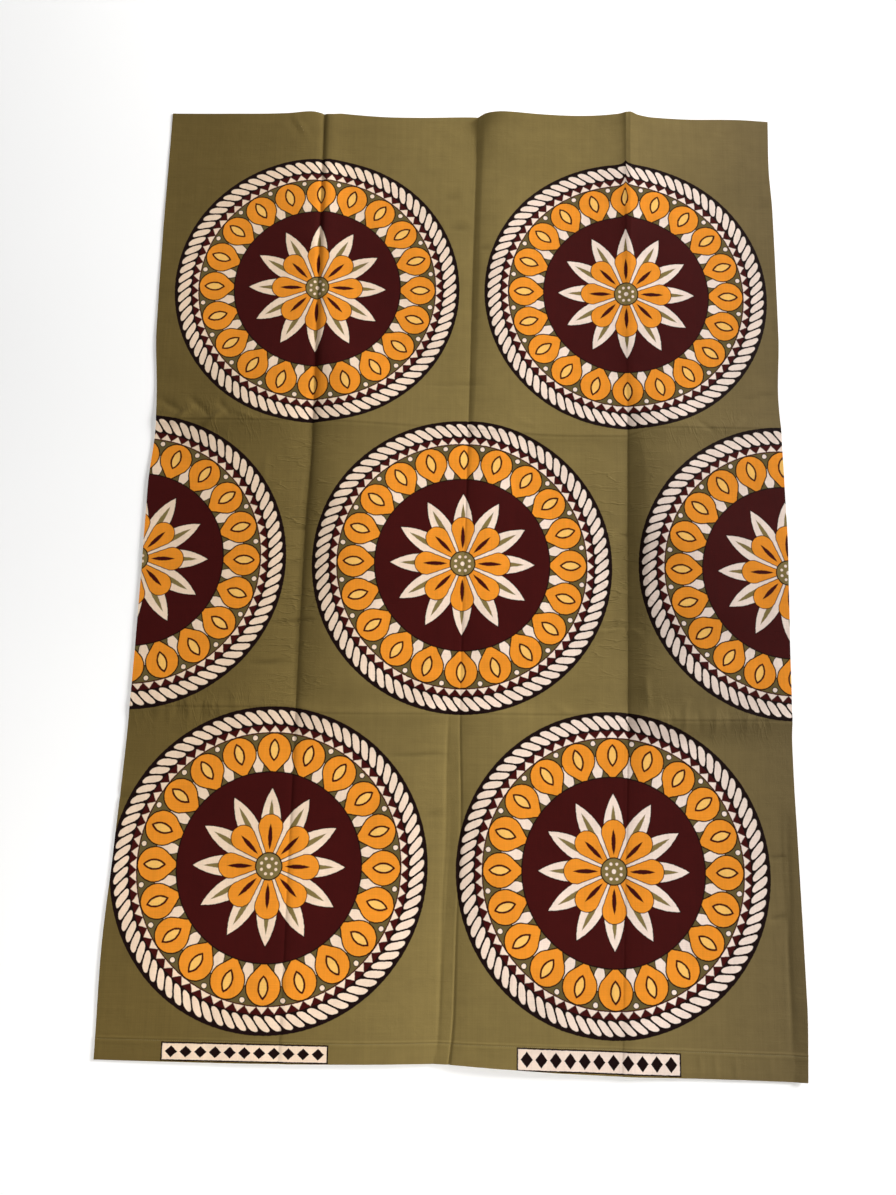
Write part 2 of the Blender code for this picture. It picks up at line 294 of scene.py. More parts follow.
# Short creases across the long folds, from an earlier and smaller folding
LADDER_CREASES = table(
    Crease,
    (-64, 653, -8, 655, -2.1, 2.6), (514, 651, 551, 652, -1.7, 2.8),
    (-32, 598, 14, 599, -1.9, 2.4), (17, 556, 50, 558, -1.7, 2.4),
    (-300, 556, -276, 555, -1.1, 2.4), (10, 425, 33, 426, -1.5, 2.4),
    (534, 414, 556, 415, -1.7, 2.6), (-74, 298, 78, 301, -1.5, 2.6),
    (476, 288, 548, 290, -1.7, 2.8), (-296, 35, -262, 35, -1.9, 2.4),
    (262, 35, 292, 34, -1.5, 2.4), (-293, -23, -270, -22, -1.5, 2.4),
    (-316, -124, -241, -122, -1.9, 2.8), (226, -124, 282, -123, -1.7, 2.6),
    (-352, -193, -278, -192, -1.7, 2.6), (-116, -340, -16, -339, -1.5, 2.6),
    (-54, -430, -20, -430, -1.5, 2.4), (498, -492, 530, -492, -1.7, 2.6),
    (496, -585, 526, -584, -1.7, 2.6), (-556, 96, -522, 97, -1.1, 2.8),
    (-556, -412, -530, -411, -1.1, 2.8),
)
# Crinkles beside the cross folds, and the crumpled corner under the first disc
CRINKLES = table(
    Crease,
    (-506, -292, -510, -252, -0.7, 4.4), (-494, -288, -490, -244, 0.9, 4.6),
    (-476, -296, -474, -256, 0.7, 4.4), (-462, -286, -466, -250, -0.7, 4.6),
    (-443, -292, -446, -240, 1.1, 4.8), (-424, -290, -421, -254, -0.8, 4.4),
    (-408, -282, -404, -248, 0.7, 4.4), (-390, -292, -394, -252, 0.8, 4.6),
    (-366, -284, -371, -236, 1.0, 4.8), (-346, -280, -344, -256, -0.6, 4.4),
    (322, -300, 330, -256, 0.8, 4.6), (344, -294, 348, -250, -0.8, 4.4),
    (366, -302, 372, -244, 1.1, 4.8), (392, -296, 390, -258, -0.8, 4.4),
    (416, -304, 422, -252, 1.0, 4.6), (444, -292, 442, -262, -0.7, 4.4),
    (468, -300, 474, -252, 0.9, 4.8), (502, -294, 498, -262, -0.7, 4.4),
    (-530, 264, -490, 236, -1.9, 5.2), (-508, 214, -466, 250, 2.1, 5.4),
    (-478, 268, -440, 230, -1.8, 5.2), (-450, 212, -410, 246, 1.9, 5.4),
    (-428, 262, -404, 232, -1.5, 4.8), (-398, 244, -360, 226, 1.2, 4.4),
    (-486, 204, -480, 176, -1.1, 4.4), (-338, 166, -341, 108, 0.9, 4.2),
    (-292, 176, -262, 172, -0.9, 3.6), (-321, 816, -288, 762, 1.4, 3.0),
    (-333, 812, -306, 772, -0.8, 3.2), (350, 236, 392, 262, 1.3, 4.8),
    (404, 240, 436, 216, -1.1, 4.6), (452, 216, 490, 246, 1.2, 4.8),
    (92, 236, 128, 222, 1.0, 4.8), (150, -250, 182, -272, 1.0, 4.6),
    (294, 172, 322, 176, -0.9, 3.6), (306, -205, 309, -262, 1.2, 4.0),
    (210, -136, 273, -125, 1.3, 4.2), (277, -123, 303, -140, 1.3, 4.2),
    (344, -253, 352, -274, 0.9, 4.0),
)
# Puckers that the hem's stitching draws up
HEM_PUCKERS = table(
    Crease,
    (-492, -778, -493, -802, 0.4, 3.4), (-404, -779, -402, -806, 0.3, 3.4),
    (-318, -779, -320, -800, 0.3, 3.2), (-226, -780, -224, -804, 0.4, 3.4),
    (-96, -778, -98, -800, 0.3, 3.2), (64, -780, 65, -806, 0.4, 3.4),
    (166, -780, 164, -808, 0.4, 3.4), (292, -784, 293, -814, 0.5, 3.2),
    (331, -784, 330, -812, 0.4, 3.2), (381, -786, 380, -823, 0.8, 3.2),
    (404, -786, 403, -825, 0.7, 3.2), (436, -786, 434, -827, 0.7, 3.2),
    (490, -786, 489, -828, 0.7, 3.2), (523, -788, 524, -816, 0.4, 3.2),
)
# The faint fold line left of the half fold, and the dent that the right edge curls up from
LONG_CREASES = table(
    Crease,
    (-18, -262, -22, -535, -0.9, 3.0), (-21, -500, -28, -800, -0.9, 3.0),
    (534, -418, 528, -610, -0.7, 3.4), (529, -580, 522, -790, -0.7, 3.4),
)
GENTLE_WAVES = table(
    Wave,
    (310, 540, 0.10, 0.5), (-420, 260, 0.55, 0.4), (150, -700, 0.30, 0.3), (900, 118, 0.80, 0.22),
    (-96, 330, 0.42, 0.16),
)
# Soft patches of painted light, and of painted shade where the change is below zero
PAINTED_LIGHT_AND_SHADE_PATCHES = table(
    LightAndShadePatch,
    (60, 60, 280, 620, 0.10), (450, -90, 260, 460, -0.12), (-520, -720, 170, 260, 0.06),
    (150, -740, 240, 130, -0.10), (440, 790, 170, 130, 0.12), (80, 770, 160, 170, -0.07),
    (-240, 780, 90, 100, -0.08),
)
COLUMN_BANDS = table(
    DenseBand,
    (-277.5, 9, 3.6), (-277.5, 45, 1.0), (0, 9, 3.6), (0, 45, 1.0), (-21, 8, 2.0),
    (277.5, 9, 3.6), (277.5, 45, 1.0), (531, 16, 1.4), (-440, 64, 1.1), (410, 80, 1.0),
)
ROW_BANDS = table(
    DenseBand,
    (-791.6, 8, 7.0), (-810, 18, 1.2), (-271.6, 9, 2.8), (-271.6, 40, 1.5), (218.6, 9, 2.8),
    (226.0, 42, 1.6), (640, 6, 2.4), (588, 6, 2.4), (549, 6, 2.4), (418, 6, 2.4), (294, 7, 2.4),
    (35, 7, 2.8), (-24, 6, 2.0), (-124, 7, 2.8), (-194, 6, 2.4), (-339, 6, 2.4), (-430, 6, 2.0),
    (-492, 6, 2.0), (-585, 6, 2.0), (810, 20, 0.8),
)

SLOW_SWAY, SLOW_SHARE = 0.31, 0.08
QUICK_SWAY, QUICK_SHARE, QUICK_TURNS = 0.117, 0.05, 2.7
CREASE_BEND, LONGEST_BEND = 0.02, 60.0 * MM
CREASE_FADING = 0.6
GRADING_TICKS = 6001


def table_columns(rows: Sequence[tuple[float, ...]]) -> Grid:
    """A table's columns in metres, with the first one growing."""
    return np.array(sorted(rows), dtype=float).T * MM


def along(places: Grid, values: Grid, spots: Grid) -> Grid:
    """Reads a smooth curve through a table's rows that never overshoots them.

    Args:
        places: Where the rows are, growing.
        values: The value in each row.
        spots: Where to read the curve.

    Returns:
        The value at each spot.
    """
    spans = np.diff(places)
    rises = np.diff(values) / spans
    before, after = rises[:-1], rises[1:]
    turning = before * after <= 0.0
    total = np.where(turning, 1.0, before + after)
    inner = np.where(turning, 0.0, 2.0 * before * after / total)
    slopes = np.concatenate(([rises[0]], inner, [rises[-1]]))
    held = np.clip(spots, places[0], places[-1])
    index = np.searchsorted(places, held, side="right") - 1
    index = np.clip(index, 0, len(spans) - 1)
    span = spans[index]
    share = (held - places[index]) / span
    rest = 1.0 - share
    start = values[index] * (1.0 + 2.0 * share) + slopes[index] * span * share
    end = values[index + 1] * (1.0 + 2.0 * rest) - slopes[index + 1] * span * rest
    return start * rest**2 + end * share**2


def row_values(rows: Sequence[tuple[float, ...]], spots: Grid) -> list[Grid]:
    """A table's later columns at places along its first one, in metres."""
    places, *values = table_columns(rows)
    return [along(places, column, spots) for column in values]


def line_offset(line: Sequence[LinePoint], spots: Grid) -> Grid:
    """The offset of an edge or a fold line at places along it, in metres."""
    return row_values(line, spots)[0]


def between_lines(
    share: Grid, lines: Sequence[tuple[float, Sequence[LinePoint]]], spots: Grid
) -> Grid:
    """Spreads points evenly between lines.

    Args:
        share: Each point's share of the cloth's width or length.
        lines: The share and the points of each line, in order.
        spots: Each point's place along the lines.

    Returns:
        Each point's position.
    """
    offsets = [(low, line_offset(line, spots)) for low, line in lines]
    place = offsets[0][1]
    for (low, start), (high, end) in zip(offsets, offsets[1:]):
        part = np.clip((share - low) / (high - low), 0.0, 1.0)
        place = place + part * (end - start)
    return place


def side_rise(distance: Grid, crest: Grid, swell: Grid, reach: Grid) -> Grid:
    """The rise beside a fold line: its crest, and the lobe that peaks at its reach."""
    ratio = np.maximum(distance, 0.0) / reach
    return crest * np.exp(-ratio) + swell * ratio * np.exp(1.0 - ratio)


def soft_step(values: Grid, start: float, end: float) -> Grid:
    """Grows smoothly from 0 at ``start`` to 1 at ``end``."""
    share = np.clip((values - start) / (end - start), 0.0, 1.0)
    return share * share * (3.0 - 2.0 * share)


def soft_bump(values: Grid, middle: float, half_width: float) -> Grid:
    """Rises smoothly to 1 at ``middle`` and is gone at about twice ``half_width`` from it."""
    return np.exp(-(((values - middle) / half_width) ** 2))


def unevenness(spots: Grid, turn: float) -> Grid:
    """Varies a fold along its length, as a hand leaves it.

    Args:
        spots: Places along the fold, in metres.
        turn: Where in its cycle this fold starts, in turns.

    Returns:
        A factor of about 1 at each spot.
    """
    slow = np.sin(FULL_TURN * (spots / SLOW_SWAY + turn))
    quick = np.sin(FULL_TURN * (spots / QUICK_SWAY + QUICK_TURNS * turn))
    return 1.0 + SLOW_SHARE * slow + QUICK_SHARE * quick


@dataclass(frozen=True)
class LongFold:
    """A fold line that runs the length of the cloth."""

    share: float
    line: tuple[LinePoint, ...]
    rows: tuple[FoldRow, ...]
    steps: tuple[StepRow, ...]
    turn: float
    pinch: tuple[PinchRow, ...] = ()
    ease: float = 1.0
    step_reach: float = 140.0 * MM
    mark_half_width: float = 1.9 * MM
    mark_pace: float = 3.0
    mark_turn: float = 0.4
    ridge_rounding: float = 2.6 * MM

    def distance(self, x: Grid, y: Grid) -> Grid:
        """How far each point is to the right of the line."""
        return x - line_offset(self.line, y)

    def rise(self, x: Grid, y: Grid) -> Grid:
        """Works out the rise that the fold gives.

        Args:
            x: Places across the cloth.
            y: Places along it.

        Returns:
            The rise at each place.
        """
        crest, left_swell, left_reach, right_swell, right_reach = row_values(self.rows, y)
        distance = self.distance(x, y)
        left = side_rise(-distance, crest, left_swell, left_reach)
        right = side_rise(distance, crest, right_swell, right_reach)
        rise = np.where(distance < 0.0, left, right)
        if self.pinch:
            ridge, trough, reach = row_values(self.pinch, y)
            beside = np.hypot(distance, self.ridge_rounding) - self.ridge_rounding
            rise = rise + side_rise(beside, ridge, trough, reach)
        return rise * unevenness(y, self.turn) + self.pressed(distance, y)

    def pressed(self, distance: Grid, y: Grid) -> Grid:
        """Works out the step and the dip of the pressed line.

        Args:
            distance: How far each point is to the right of the line.
            y: Places along the cloth.

        Returns:
            The rise at each place, below zero in the dip.
        """
        height, start, end, mark = row_values(self.steps, y)
        share = np.clip((distance - start) / (end - start), 0.0, 1.0)
        fading = np.exp(-np.maximum(distance, 0.0) / self.step_reach)
        step = height * share**self.ease * fading
        dip = mark * soft_bump(distance, 0.0, self.mark_half_width)
        return step - dip * unevenness(y * self.mark_pace, self.turn + self.mark_turn)


@dataclass(frozen=True)
class CrossFold:
    """A fold line that runs across the cloth."""

    share: float
    line: tuple[LinePoint, ...]
    rows: tuple[CrossFoldRow, ...]
    turn: float
    mark: float = 0.9 * MM
    mark_place: float = -1.2 * MM
    mark_half_width: float = 2.0 * MM

    def distance(self, x: Grid, y: Grid) -> Grid:
        """How far each point is above the line."""
        return y - line_offset(self.line, x)

    def rise(self, x: Grid, y: Grid) -> Grid:
        """Works out the rise that the fold gives.

        Args:
            x: Places across the cloth.
            y: Places along it.

        Returns:
            The rise at each place.
        """
        crest, lower_reach, upper_reach = row_values(self.rows, x)
        distance = self.distance(x, y)
        reach = np.where(distance < 0.0, lower_reach, upper_reach)
        rise = side_rise(np.abs(distance), crest, 0.0, reach) * unevenness(x, self.turn)
        return rise - self.mark * soft_bump(distance, self.mark_place, self.mark_half_width)


@dataclass(frozen=True)
class TurnedHem:
    """The hem along the bottom end, where the cloth is turned under and stitched."""

    share: float = 0.022
    fold_rise: float = 0.45 * MM
    fold_start: float = -1.6 * MM
    fold_end: float = 1.4 * MM
    stitch_inset: float = 3.6 * MM
    groove: float = 0.4 * MM
    groove_half_width: float = 1.3 * MM
    ridges: tuple[tuple[float, float, float], ...] = (
        (0.35 * MM, 1.0 * MM, 1.6 * MM),
        (0.3 * MM, 6.4 * MM, 1.9 * MM),
    )
    edge_drop: float = 0.3 * MM
    edge_reach: float = 2.5 * MM

    def rise(self, x: Grid, y: Grid) -> Grid:
        """Works out the step, the stitched groove between two ridges, and the rolled edge.

        Args:
            x: Places across the cloth.
            y: Places along it.

        Returns:
            The rise at each place.
        """
        inside = line_offset(HEM_INNER_LINE, x) - y
        rise = self.thickness(x, y)
        for height, inset, half_width in self.ridges:
            rise = rise + height * soft_bump(inside, inset, half_width)
        groove = self.groove * soft_bump(inside, self.stitch_inset, self.groove_half_width)
        from_edge = y - line_offset(BOTTOM_EDGE, x)
        rolled = self.edge_drop * (1.0 - soft_step(from_edge, 0.0, self.edge_reach))
        return rise - groove - rolled

    def thickness(self, x: Grid, y: Grid) -> Grid:
        """Extra thickness at each point, where the cloth lies double."""
        inside = line_offset(HEM_INNER_LINE, x) - y
        return self.fold_rise * soft_step(inside, self.fold_start, self.fold_end)


@dataclass(frozen=True)
class LaidForm:
    """Where each point of the flat cloth lies once it is spread out.

    The long folds are listed from the left, and the cross folds from the hem.
    """

    width: float = 1.110
    length: float = 1.656
    long_folds: tuple[LongFold, ...] = (
        LongFold(
            0.25, FIRST_LINE, FIRST_FOLD_ROWS, FIRST_STEP_ROWS, 0.13, FIRST_PINCH_ROWS, ease=1.8
        ),
        LongFold(0.5, HALF_LINE, HALF_FOLD_ROWS, HALF_STEP_ROWS, 0.62),
        LongFold(0.75, LAST_LINE, LAST_FOLD_ROWS, LAST_STEP_ROWS, 0.37, LAST_PINCH_ROWS),
    )
    cross_folds: tuple[CrossFold, ...] = (
        CrossFold(0.336, LOWER_LINE, LOWER_FOLD_ROWS, 0.21),
        CrossFold(0.632, UPPER_LINE, UPPER_FOLD_ROWS, 0.74),
    )
    hem: TurnedHem = TurnedHem()
    curl_bend: float = 0.35
    # The fold wear also sets painted crease shade: its reach from a pressed line, and the crease
    # depth at which it is full
    wear_and_shade_reach: float = 1.8 * MM
    full_wear_and_shade_depth: float = 1.0 * MM

    def place(self, across: Grid, up: Grid) -> tuple[Grid, Grid]:
        """Finds where points of the cloth lie.

        Args:
            across: Shares of the width, from the left edge.
            up: Shares of the length, from the hemmed end.

        Returns:
            The places across and along, in metres.
        """
        plain_x = (across - 0.5) * self.width
        plain_y = (up - 0.5) * self.length
        x_lines = [(0.0, LEFT_EDGE)]
        x_lines += [(fold.share, fold.line) for fold in self.long_folds] + [(1.0, RIGHT_EDGE)]
        y_lines = [(0.0, BOTTOM_EDGE), (self.hem.share, HEM_INNER_LINE)]
        y_lines += [(fold.share, fold.line) for fold in self.cross_folds] + [(1.0, TOP_EDGE)]
        return between_lines(across, x_lines, plain_y), between_lines(up, y_lines, plain_x)

    def curl(self, x: Grid, y: Grid) -> Grid:
        """Works out how the right edge curls up, below the lower cross fold.

        Args:
            x: Places across the cloth.
            y: Places along it.

        Returns:
            The rise at each place.
        """
        rise, strip = row_values(RIGHT_CURL_ROWS, y)
        inside = line_offset(RIGHT_EDGE, y) - x
        share = np.clip(1.0 - inside / strip, 0.0, 1.0)
        return rise * share * (1.0 + self.curl_bend * (1.0 - share))

    def rise(self, x: Grid, y: Grid) -> Grid:
        """Works out the whole rise of the cloth over a plain sheet on the floor.

        Args:
            x: Places across the cloth.
            y: Places along it.

        Returns:
            The rise at each place.
        """
        total = self.curl(x, y) + self.hem.rise(x, y) + gentle_lift(x, y)
        for fold in (*self.long_folds, *self.cross_folds):
            total = total + fold.rise(x, y)
        for crease in (*LADDER_CREASES, *CRINKLES, *HEM_PUCKERS, *LONG_CREASES):
            total = total + crease_rise(crease, x, y)
        return total

    def wear_and_shade(self, x: Grid, y: Grid) -> Grid:
        """Finds the wear along the pressed fold lines and the old short creases, which also sets
        the painted shade that darkens the print there.

        Args:
            x: Places across the cloth.
            y: Places along it.

        Returns:
            The wear and painted crease shade at each place, 1 on a pressed line and more in a deep
            crease.
        """
        total = np.zeros_like(x)
        for fold in (*self.long_folds, *self.cross_folds):
            total = np.maximum(total, np.exp(-np.abs(fold.distance(x, y)) / self.wear_and_shade_reach))
        for crease in LADDER_CREASES:
            total = np.maximum(total, -crease_rise(crease, x, y) / self.full_wear_and_shade_depth)
        return total


def crease_rise(crease: Crease, x: Grid, y: Grid) -> Grid:
    """Works out the rise that one short crease gives.

    Args:
        crease: The crease, in millimetres.
        x: Places across the cloth, in metres.
        y: Places along it, in metres.

    Returns:
        The rise at each place, in metres.
    """
    run_x = (crease.end_x - crease.start_x) * MM
    run_y = (crease.end_y - crease.start_y) * MM
    run = np.hypot(run_x, run_y)
    from_x = x - crease.start_x * MM
    from_y = y - crease.start_y * MM
    share = (from_x * run_x + from_y * run_y) / run**2
    beside = (from_x * run_y - from_y * run_x) / run
    bent = beside - CREASE_BEND * min(run, LONGEST_BEND) * np.sin(FULL_TURN * share)
    fading = np.sin(np.pi * np.clip(share, 0.0, 1.0)) ** CREASE_FADING
    width = crease.half_width * MM * (0.7 + 0.3 * fading)
    return crease.height * MM * fading * np.exp(-((bent / width) ** 2))


def gentle_lift(x: Grid, y: Grid) -> Grid:
    """Works out the slight lift of cloth that doesn't lie quite flat.

    Args:
        x: Places across the cloth.
        y: Places along it.

    Returns:
        The rise at each place, zero or more.
    """
    total = np.zeros_like(x)
    for wave in GENTLE_WAVES:
        cycle = x / (wave.across * MM) + y / (wave.along * MM) + wave.turn
        total += wave.height * MM * (0.5 + 0.5 * np.sin(FULL_TURN * cycle))
    return total


def graded_shares(
    count: int, size: float, bands: Sequence[DenseBand], lines: Sequence[float]
) -> Grid:
    """Spaces the mesh's rows so that they are closest at the folds.

    Args:
        count: How many spaces there are between rows.
        size: The cloth's width or length, in metres.
        bands: Where the rows are closer, in millimetres from the middle.
        lines: Shares at which a row has to lie.

    Returns:
        The share of the size at which each row lies, from 0 to 1.
    """
    ticks = np.linspace(0.0, 1.0, GRADING_TICKS)
    density = np.ones_like(ticks)
    for band in bands:
        middle = 0.5 + band.place * MM / size
        density += band.gain * soft_bump(ticks, middle, band.half_width * MM / size)
    total = np.concatenate(([0.0], np.cumsum((density[1:] + density[:-1]) / 2.0)))
    shares = np.interp(np.linspace(0.0, total[-1], count + 1), total, ticks)
    for line in lines:
        nearest = 1 + int(np.argmin(np.abs(shares[1:-1] - line)))
        shares[nearest] = line
    return shares


def from_screen(red: int, green: int, blue: int) -> tuple[float, float, float, float]:
    """Turns a colour as a screen shows it into the colour that light works with.

    Args:
        red: From 0 to 255.
        green: From 0 to 255.
        blue: From 0 to 255.

    Returns:
        The linear colour, with full alpha.
    """
    shares = (channel / 255.0 for channel in (red, green, blue))
    linear = [c / 12.92 if c <= 0.04045 else ((c + 0.055) / 1.055) ** 2.4 for c in shares]
    return (linear[0], linear[1], linear[2], 1.0)


class Ink(Enum):
    """The cloth's dyed ground and its printing inks, as a screen shows them. The left and right
    olives are the ground with painted shade, and the two creams are one cream ink; each left colour
    has a painted tint of warmer light and each right colour one of cooler light.
    """

    OLIVE = (126, 109, 64)
    LEFT_SHADED_WARM_OLIVE = (104, 87, 46)
    RIGHT_SHADED_COOL_OLIVE = (109, 94, 63)
    DEEP_OLIVE = (98, 84, 48)
    ORANGE = (232, 143, 40)
    GOLD = (244, 190, 100)
    MAROON = (62, 10, 8)
    CREAM_IN_WARM_LIGHT = (238, 212, 186)
    CREAM_IN_COOL_LIGHT = (238, 218, 205)
    BLACK = (22, 5, 4)
    BARE_BACK = (168, 150, 112)

    @property
    def colour(self) -> tuple[float, float, float, float]:
        """The linear colour."""
        return from_screen(*self.value)


Feed = Union["Wire", Ink, float, Sequence[float]]
NODES_HIGH = 7
NODE_COLUMN = 210.0
NODE_ROW = -190.0


class Wire:
    """An output of a node. Arithmetic with it adds Math nodes to its tree."""

    def __init__(self, socket: bpy.types.NodeSocket) -> None:
        """Holds the node output that the wire starts from."""
        self.socket = socket

    def math(self, operation: str, *others: Feed, clamp: bool = False) -> Wire:
        """Adds a Math node whose first value is this wire, and returns its result."""
        inputs = dict(enumerate((self, *others)))
        return fed_node("ShaderNodeMath", inputs, operation=operation, use_clamp=clamp)

    def __add__(self, other: Feed) -> Wire:
        """The sum with another value."""
        return self.math("ADD", other)

    def __sub__(self, other: Feed) -> Wire:
        """The difference from another value."""
        return self.math("SUBTRACT", other)

    def __mul__(self, other: Feed) -> Wire:
        """The product with another value."""
        return self.math("MULTIPLY", other)

    def __truediv__(self, other: Feed) -> Wire:
        """The quotient by another value."""
        return self.math("DIVIDE", other)

    def __neg__(self) -> Wire:
        """The value with its sign turned."""
        return self.math("MULTIPLY", -1.0)

    def __abs__(self) -> Wire:
        """The value without its sign."""
        return self.math("ABSOLUTE")

    def ramp(self, gain: float, start: float) -> Wire:
        """The value times a gain, plus a start, kept between 0 and 1."""
        return self.math("MULTIPLY_ADD", gain, start, clamp=True)

    def at_least(self, other: Feed) -> Wire:
        """The larger of the two values."""
        return self.math("MAXIMUM", other)

    def below(self, other: Feed) -> Wire:
        """1 where this value is below the other one, and 0 elsewhere."""
        return self.math("LESS_THAN", other)

    def folded(self, low: Feed, high: Feed) -> Wire:
        """The value moved by whole steps until it lies between two limits."""
        return self.math("WRAP", high, low)

    def root(self) -> Wire:
        """The square root."""
        return self.math("SQRT")


def feed(socket: bpy.types.NodeSocket, value: Feed | bpy.types.ID) -> None:
    """Links a wire to a node's input, or sets the input's own value.

    Args:
        socket: The node's input.
        value: A wire, an ink or a plain value.
    """
    if isinstance(value, Wire):
        socket.id_data.links.new(value.socket, socket)
    else:
        socket.default_value = value.colour if isinstance(value, Ink) else value


def add_node(tree: bpy.types.NodeTree, kind: str, **settings: object) -> bpy.types.Node:
    """Adds a node to a tree and finds it a free place.

    Args:
        tree: The tree that it goes in.
        kind: The node's type.
        **settings: Properties of the node and their values.

    Returns:
        The new node.
    """
    node = tree.nodes.new(kind)
    for name, value in settings.items():
        setattr(node, name, value)
    column, row = divmod(len(tree.nodes), NODES_HIGH)
    node.location = (NODE_COLUMN * column, NODE_ROW * row)
    return node


def fed_node(
    kind: str, inputs: dict[int | str, Feed | bpy.types.ID], output: int = 0, **settings: object
) -> Wire:
    """Adds a node to the tree of the first wire that it is fed.

    Args:
        kind: The node's type.
        inputs: What its inputs are given, by number or name.
        output: The number of the output that is wanted.
        **settings: Properties of the node and their values.

    Returns:
        That output.
    """
    wire = next(value for value in inputs.values() if isinstance(value, Wire))
    node = add_node(wire.socket.id_data, kind, **settings)
    for key, value in inputs.items():
        feed(node.inputs[key], value)
    return Wire(node.outputs[output])


def new_socket(
    tree: bpy.types.NodeTree, name: str, side: str, kind: str = "Float"
) -> bpy.types.NodeTreeInterfaceSocket:
    """Gives a tree a named input or output."""
    return tree.interface.new_socket(name, in_out=side, socket_type="NodeSocket" + kind)


def mix_numbers(share: Wire, start: Feed, end: Feed) -> Wire:
    """Mixes two numbers, with the share of the second one."""
    return fed_node("ShaderNodeMix", {0: share, 2: start, 3: end}, data_type="FLOAT")


def paint(mask: Wire, under: Feed, over: Feed) -> Wire:
    """Lays one colour over another where the mask is 1."""
    return fed_node("ShaderNodeMix", {0: mask, 6: under, 7: over}, 2, data_type="RGBA")


def length_of(across: Wire, along_it: Wire) -> Wire:
    """The length of a flat vector, from its two parts."""
    return (across * across + along_it * along_it).root()


def noise(place: Wire, scale: float, detail: float = 2.0) -> Wire:
    """A noise pattern from 0 to 1, with that many features to a metre and finer layers."""
    inputs = {"Vector": place, "Scale": scale, "Detail": detail}
    return fed_node("ShaderNodeTexNoise", inputs, noise_dimensions="3D")


def combined(*numbers: Feed) -> Wire:
    """Joins two or three numbers into a vector."""
    return fed_node("ShaderNodeCombineXYZ", dict(enumerate(numbers)))


def split(vector: Wire) -> list[Wire]:
    """The three numbers of a vector."""
    node = fed_node("ShaderNodeSeparateXYZ", {0: vector}).socket.node
    return [Wire(socket) for socket in node.outputs]


def blank_material(
    name: str, plain: dict[str, float | tuple[float, ...]]
) -> tuple[bpy.types.Material, bpy.types.Node]:
    """Makes a material whose finish is still to be fed.

    Args:
        name: The material's name.
        plain: What is the same all over, by the shader's inputs.

    Returns:
        The material and its shader.
    """
    material = bpy.data.materials.new(name)
    material.use_nodes = True
    shader = material.node_tree.nodes["Principled BSDF"]
    for socket, value in plain.items():
        shader.inputs[socket].default_value = value
    return material, shader


def dress(shader: bpy.types.Node, colour: Feed, value: Wire, rough: Wire, relief: Wire) -> None:
    """Feeds a shader its finish.

    Args:
        shader: The material's shader.
        colour: The colour.
        value: A factor of the colour's lightness.
        rough: The roughness.
        relief: The height of the fine relief, in metres.
    """
    toned = fed_node("ShaderNodeHueSaturation", {"Value": value, "Color": colour})
    feed(shader.inputs["Base Color"], toned)
    feed(shader.inputs["Roughness"], rough)
    feed(shader.inputs["Normal"], fed_node("ShaderNodeBump", {"Distance": 1.0, "Height": relief}))


class ShaderGroup:
    """A shader node group that is built once and then placed with its own values."""

    name: ClassVar[str]
    inputs: ClassVar[dict[str, float]]
    outputs: ClassVar[tuple[str, ...]]

    def draw(self, given: dict[str, Wire]) -> dict[str, Wire]:
        """Adds the group's own nodes to its tree, and returns what it puts out."""
        raise NotImplementedError

    def tree(self) -> bpy.types.NodeTree:
        """Finds the group, or builds it the first time.

        Returns:
            The group's node tree.
        """
        found = bpy.data.node_groups.get(self.name)
        if found:
            return found
        tree = bpy.data.node_groups.new(self.name, "ShaderNodeTree")
        for name, value in self.inputs.items():
            new_socket(tree, name, "INPUT").default_value = value
        for name in self.outputs:
            new_socket(tree, name, "OUTPUT")
        entry = add_node(tree, "NodeGroupInput")
        results = self.draw({name: Wire(entry.outputs[name]) for name in self.inputs})
        leaving = add_node(tree, "NodeGroupOutput")
        for name in self.outputs:
            feed(leaving.inputs[name], results[name])
        return tree

    def use(self, **values: Feed) -> list[Wire]:
        """Places the group in the tree of the first wire that it is given.

        Args:
            **values: What its inputs are given, with _ for each space of a name.

        Returns:
            The group's outputs, in order.
        """
        inputs = {name.replace("_", " ").title(): value for name, value in values.items()}
        placed = fed_node("ShaderNodeGroup", inputs, node_tree=self.tree()).socket.node
        return [Wire(socket) for socket in placed.outputs]


class NearestDisc(ShaderGroup):
    """Finds the nearest disc of a print whose rows are set half a step aside from each other."""

    name = "nearest_disc"
    inputs = {"Across": 0.0, "Along": 0.0, "Step": 0.55, "Row": 0.5, "Lean": 0.018, "Aside": 0.0}
    outputs = ("Across", "Along")

    def draw(self, given: dict[str, Wire]) -> dict[str, Wire]:
        """Compares the middle row's discs with those of the rows above and below it.

        Args:
            given: The group's inputs.

        Returns:
            The place from the nearest disc's centre.
        """
        across, along_it, step = given["Across"], given["Along"], given["Step"]
        half = step * 0.5
        middle_across = across.folded(-half, half)
        side = along_it.math("SIGN")
        outer_along = along_it - side * given["Row"]
        outer = across - side * given["Lean"] - given["Aside"]
        outer_across = outer.folded(0.0, step) - half
        nearer = length_of(middle_across, along_it).below(length_of(outer_across, outer_along))
        return {
            "Across": mix_numbers(nearer, outer_across, middle_across),
            "Along": mix_numbers(nearer, outer_along, along_it),
        }


class RoundRow(ShaderGroup):
    """Folds the turn round a centre into one of many equal parts, such as a petal's."""

    name = "round_row"
    inputs = {"Radius": 0.0, "Turn": 0.0, "Count": 12.0, "Start": 0.0}
    outputs = ("Side", "Out")

    def draw(self, given: dict[str, Wire]) -> dict[str, Wire]:
        """Turns the nearest part to the axis.

        Args:
            given: The group's inputs.

        Returns:
            The distance beside the part's middle line, and the distance out along it.
        """
        share = (given["Turn"] * given["Count"] + given["Start"]).folded(-0.5, 0.5)
        angle = share / given["Count"] * FULL_TURN
        return {
            "Side": given["Radius"] * abs(angle.math("SINE")),
            "Out": given["Radius"] * angle.math("COSINE"),
        }


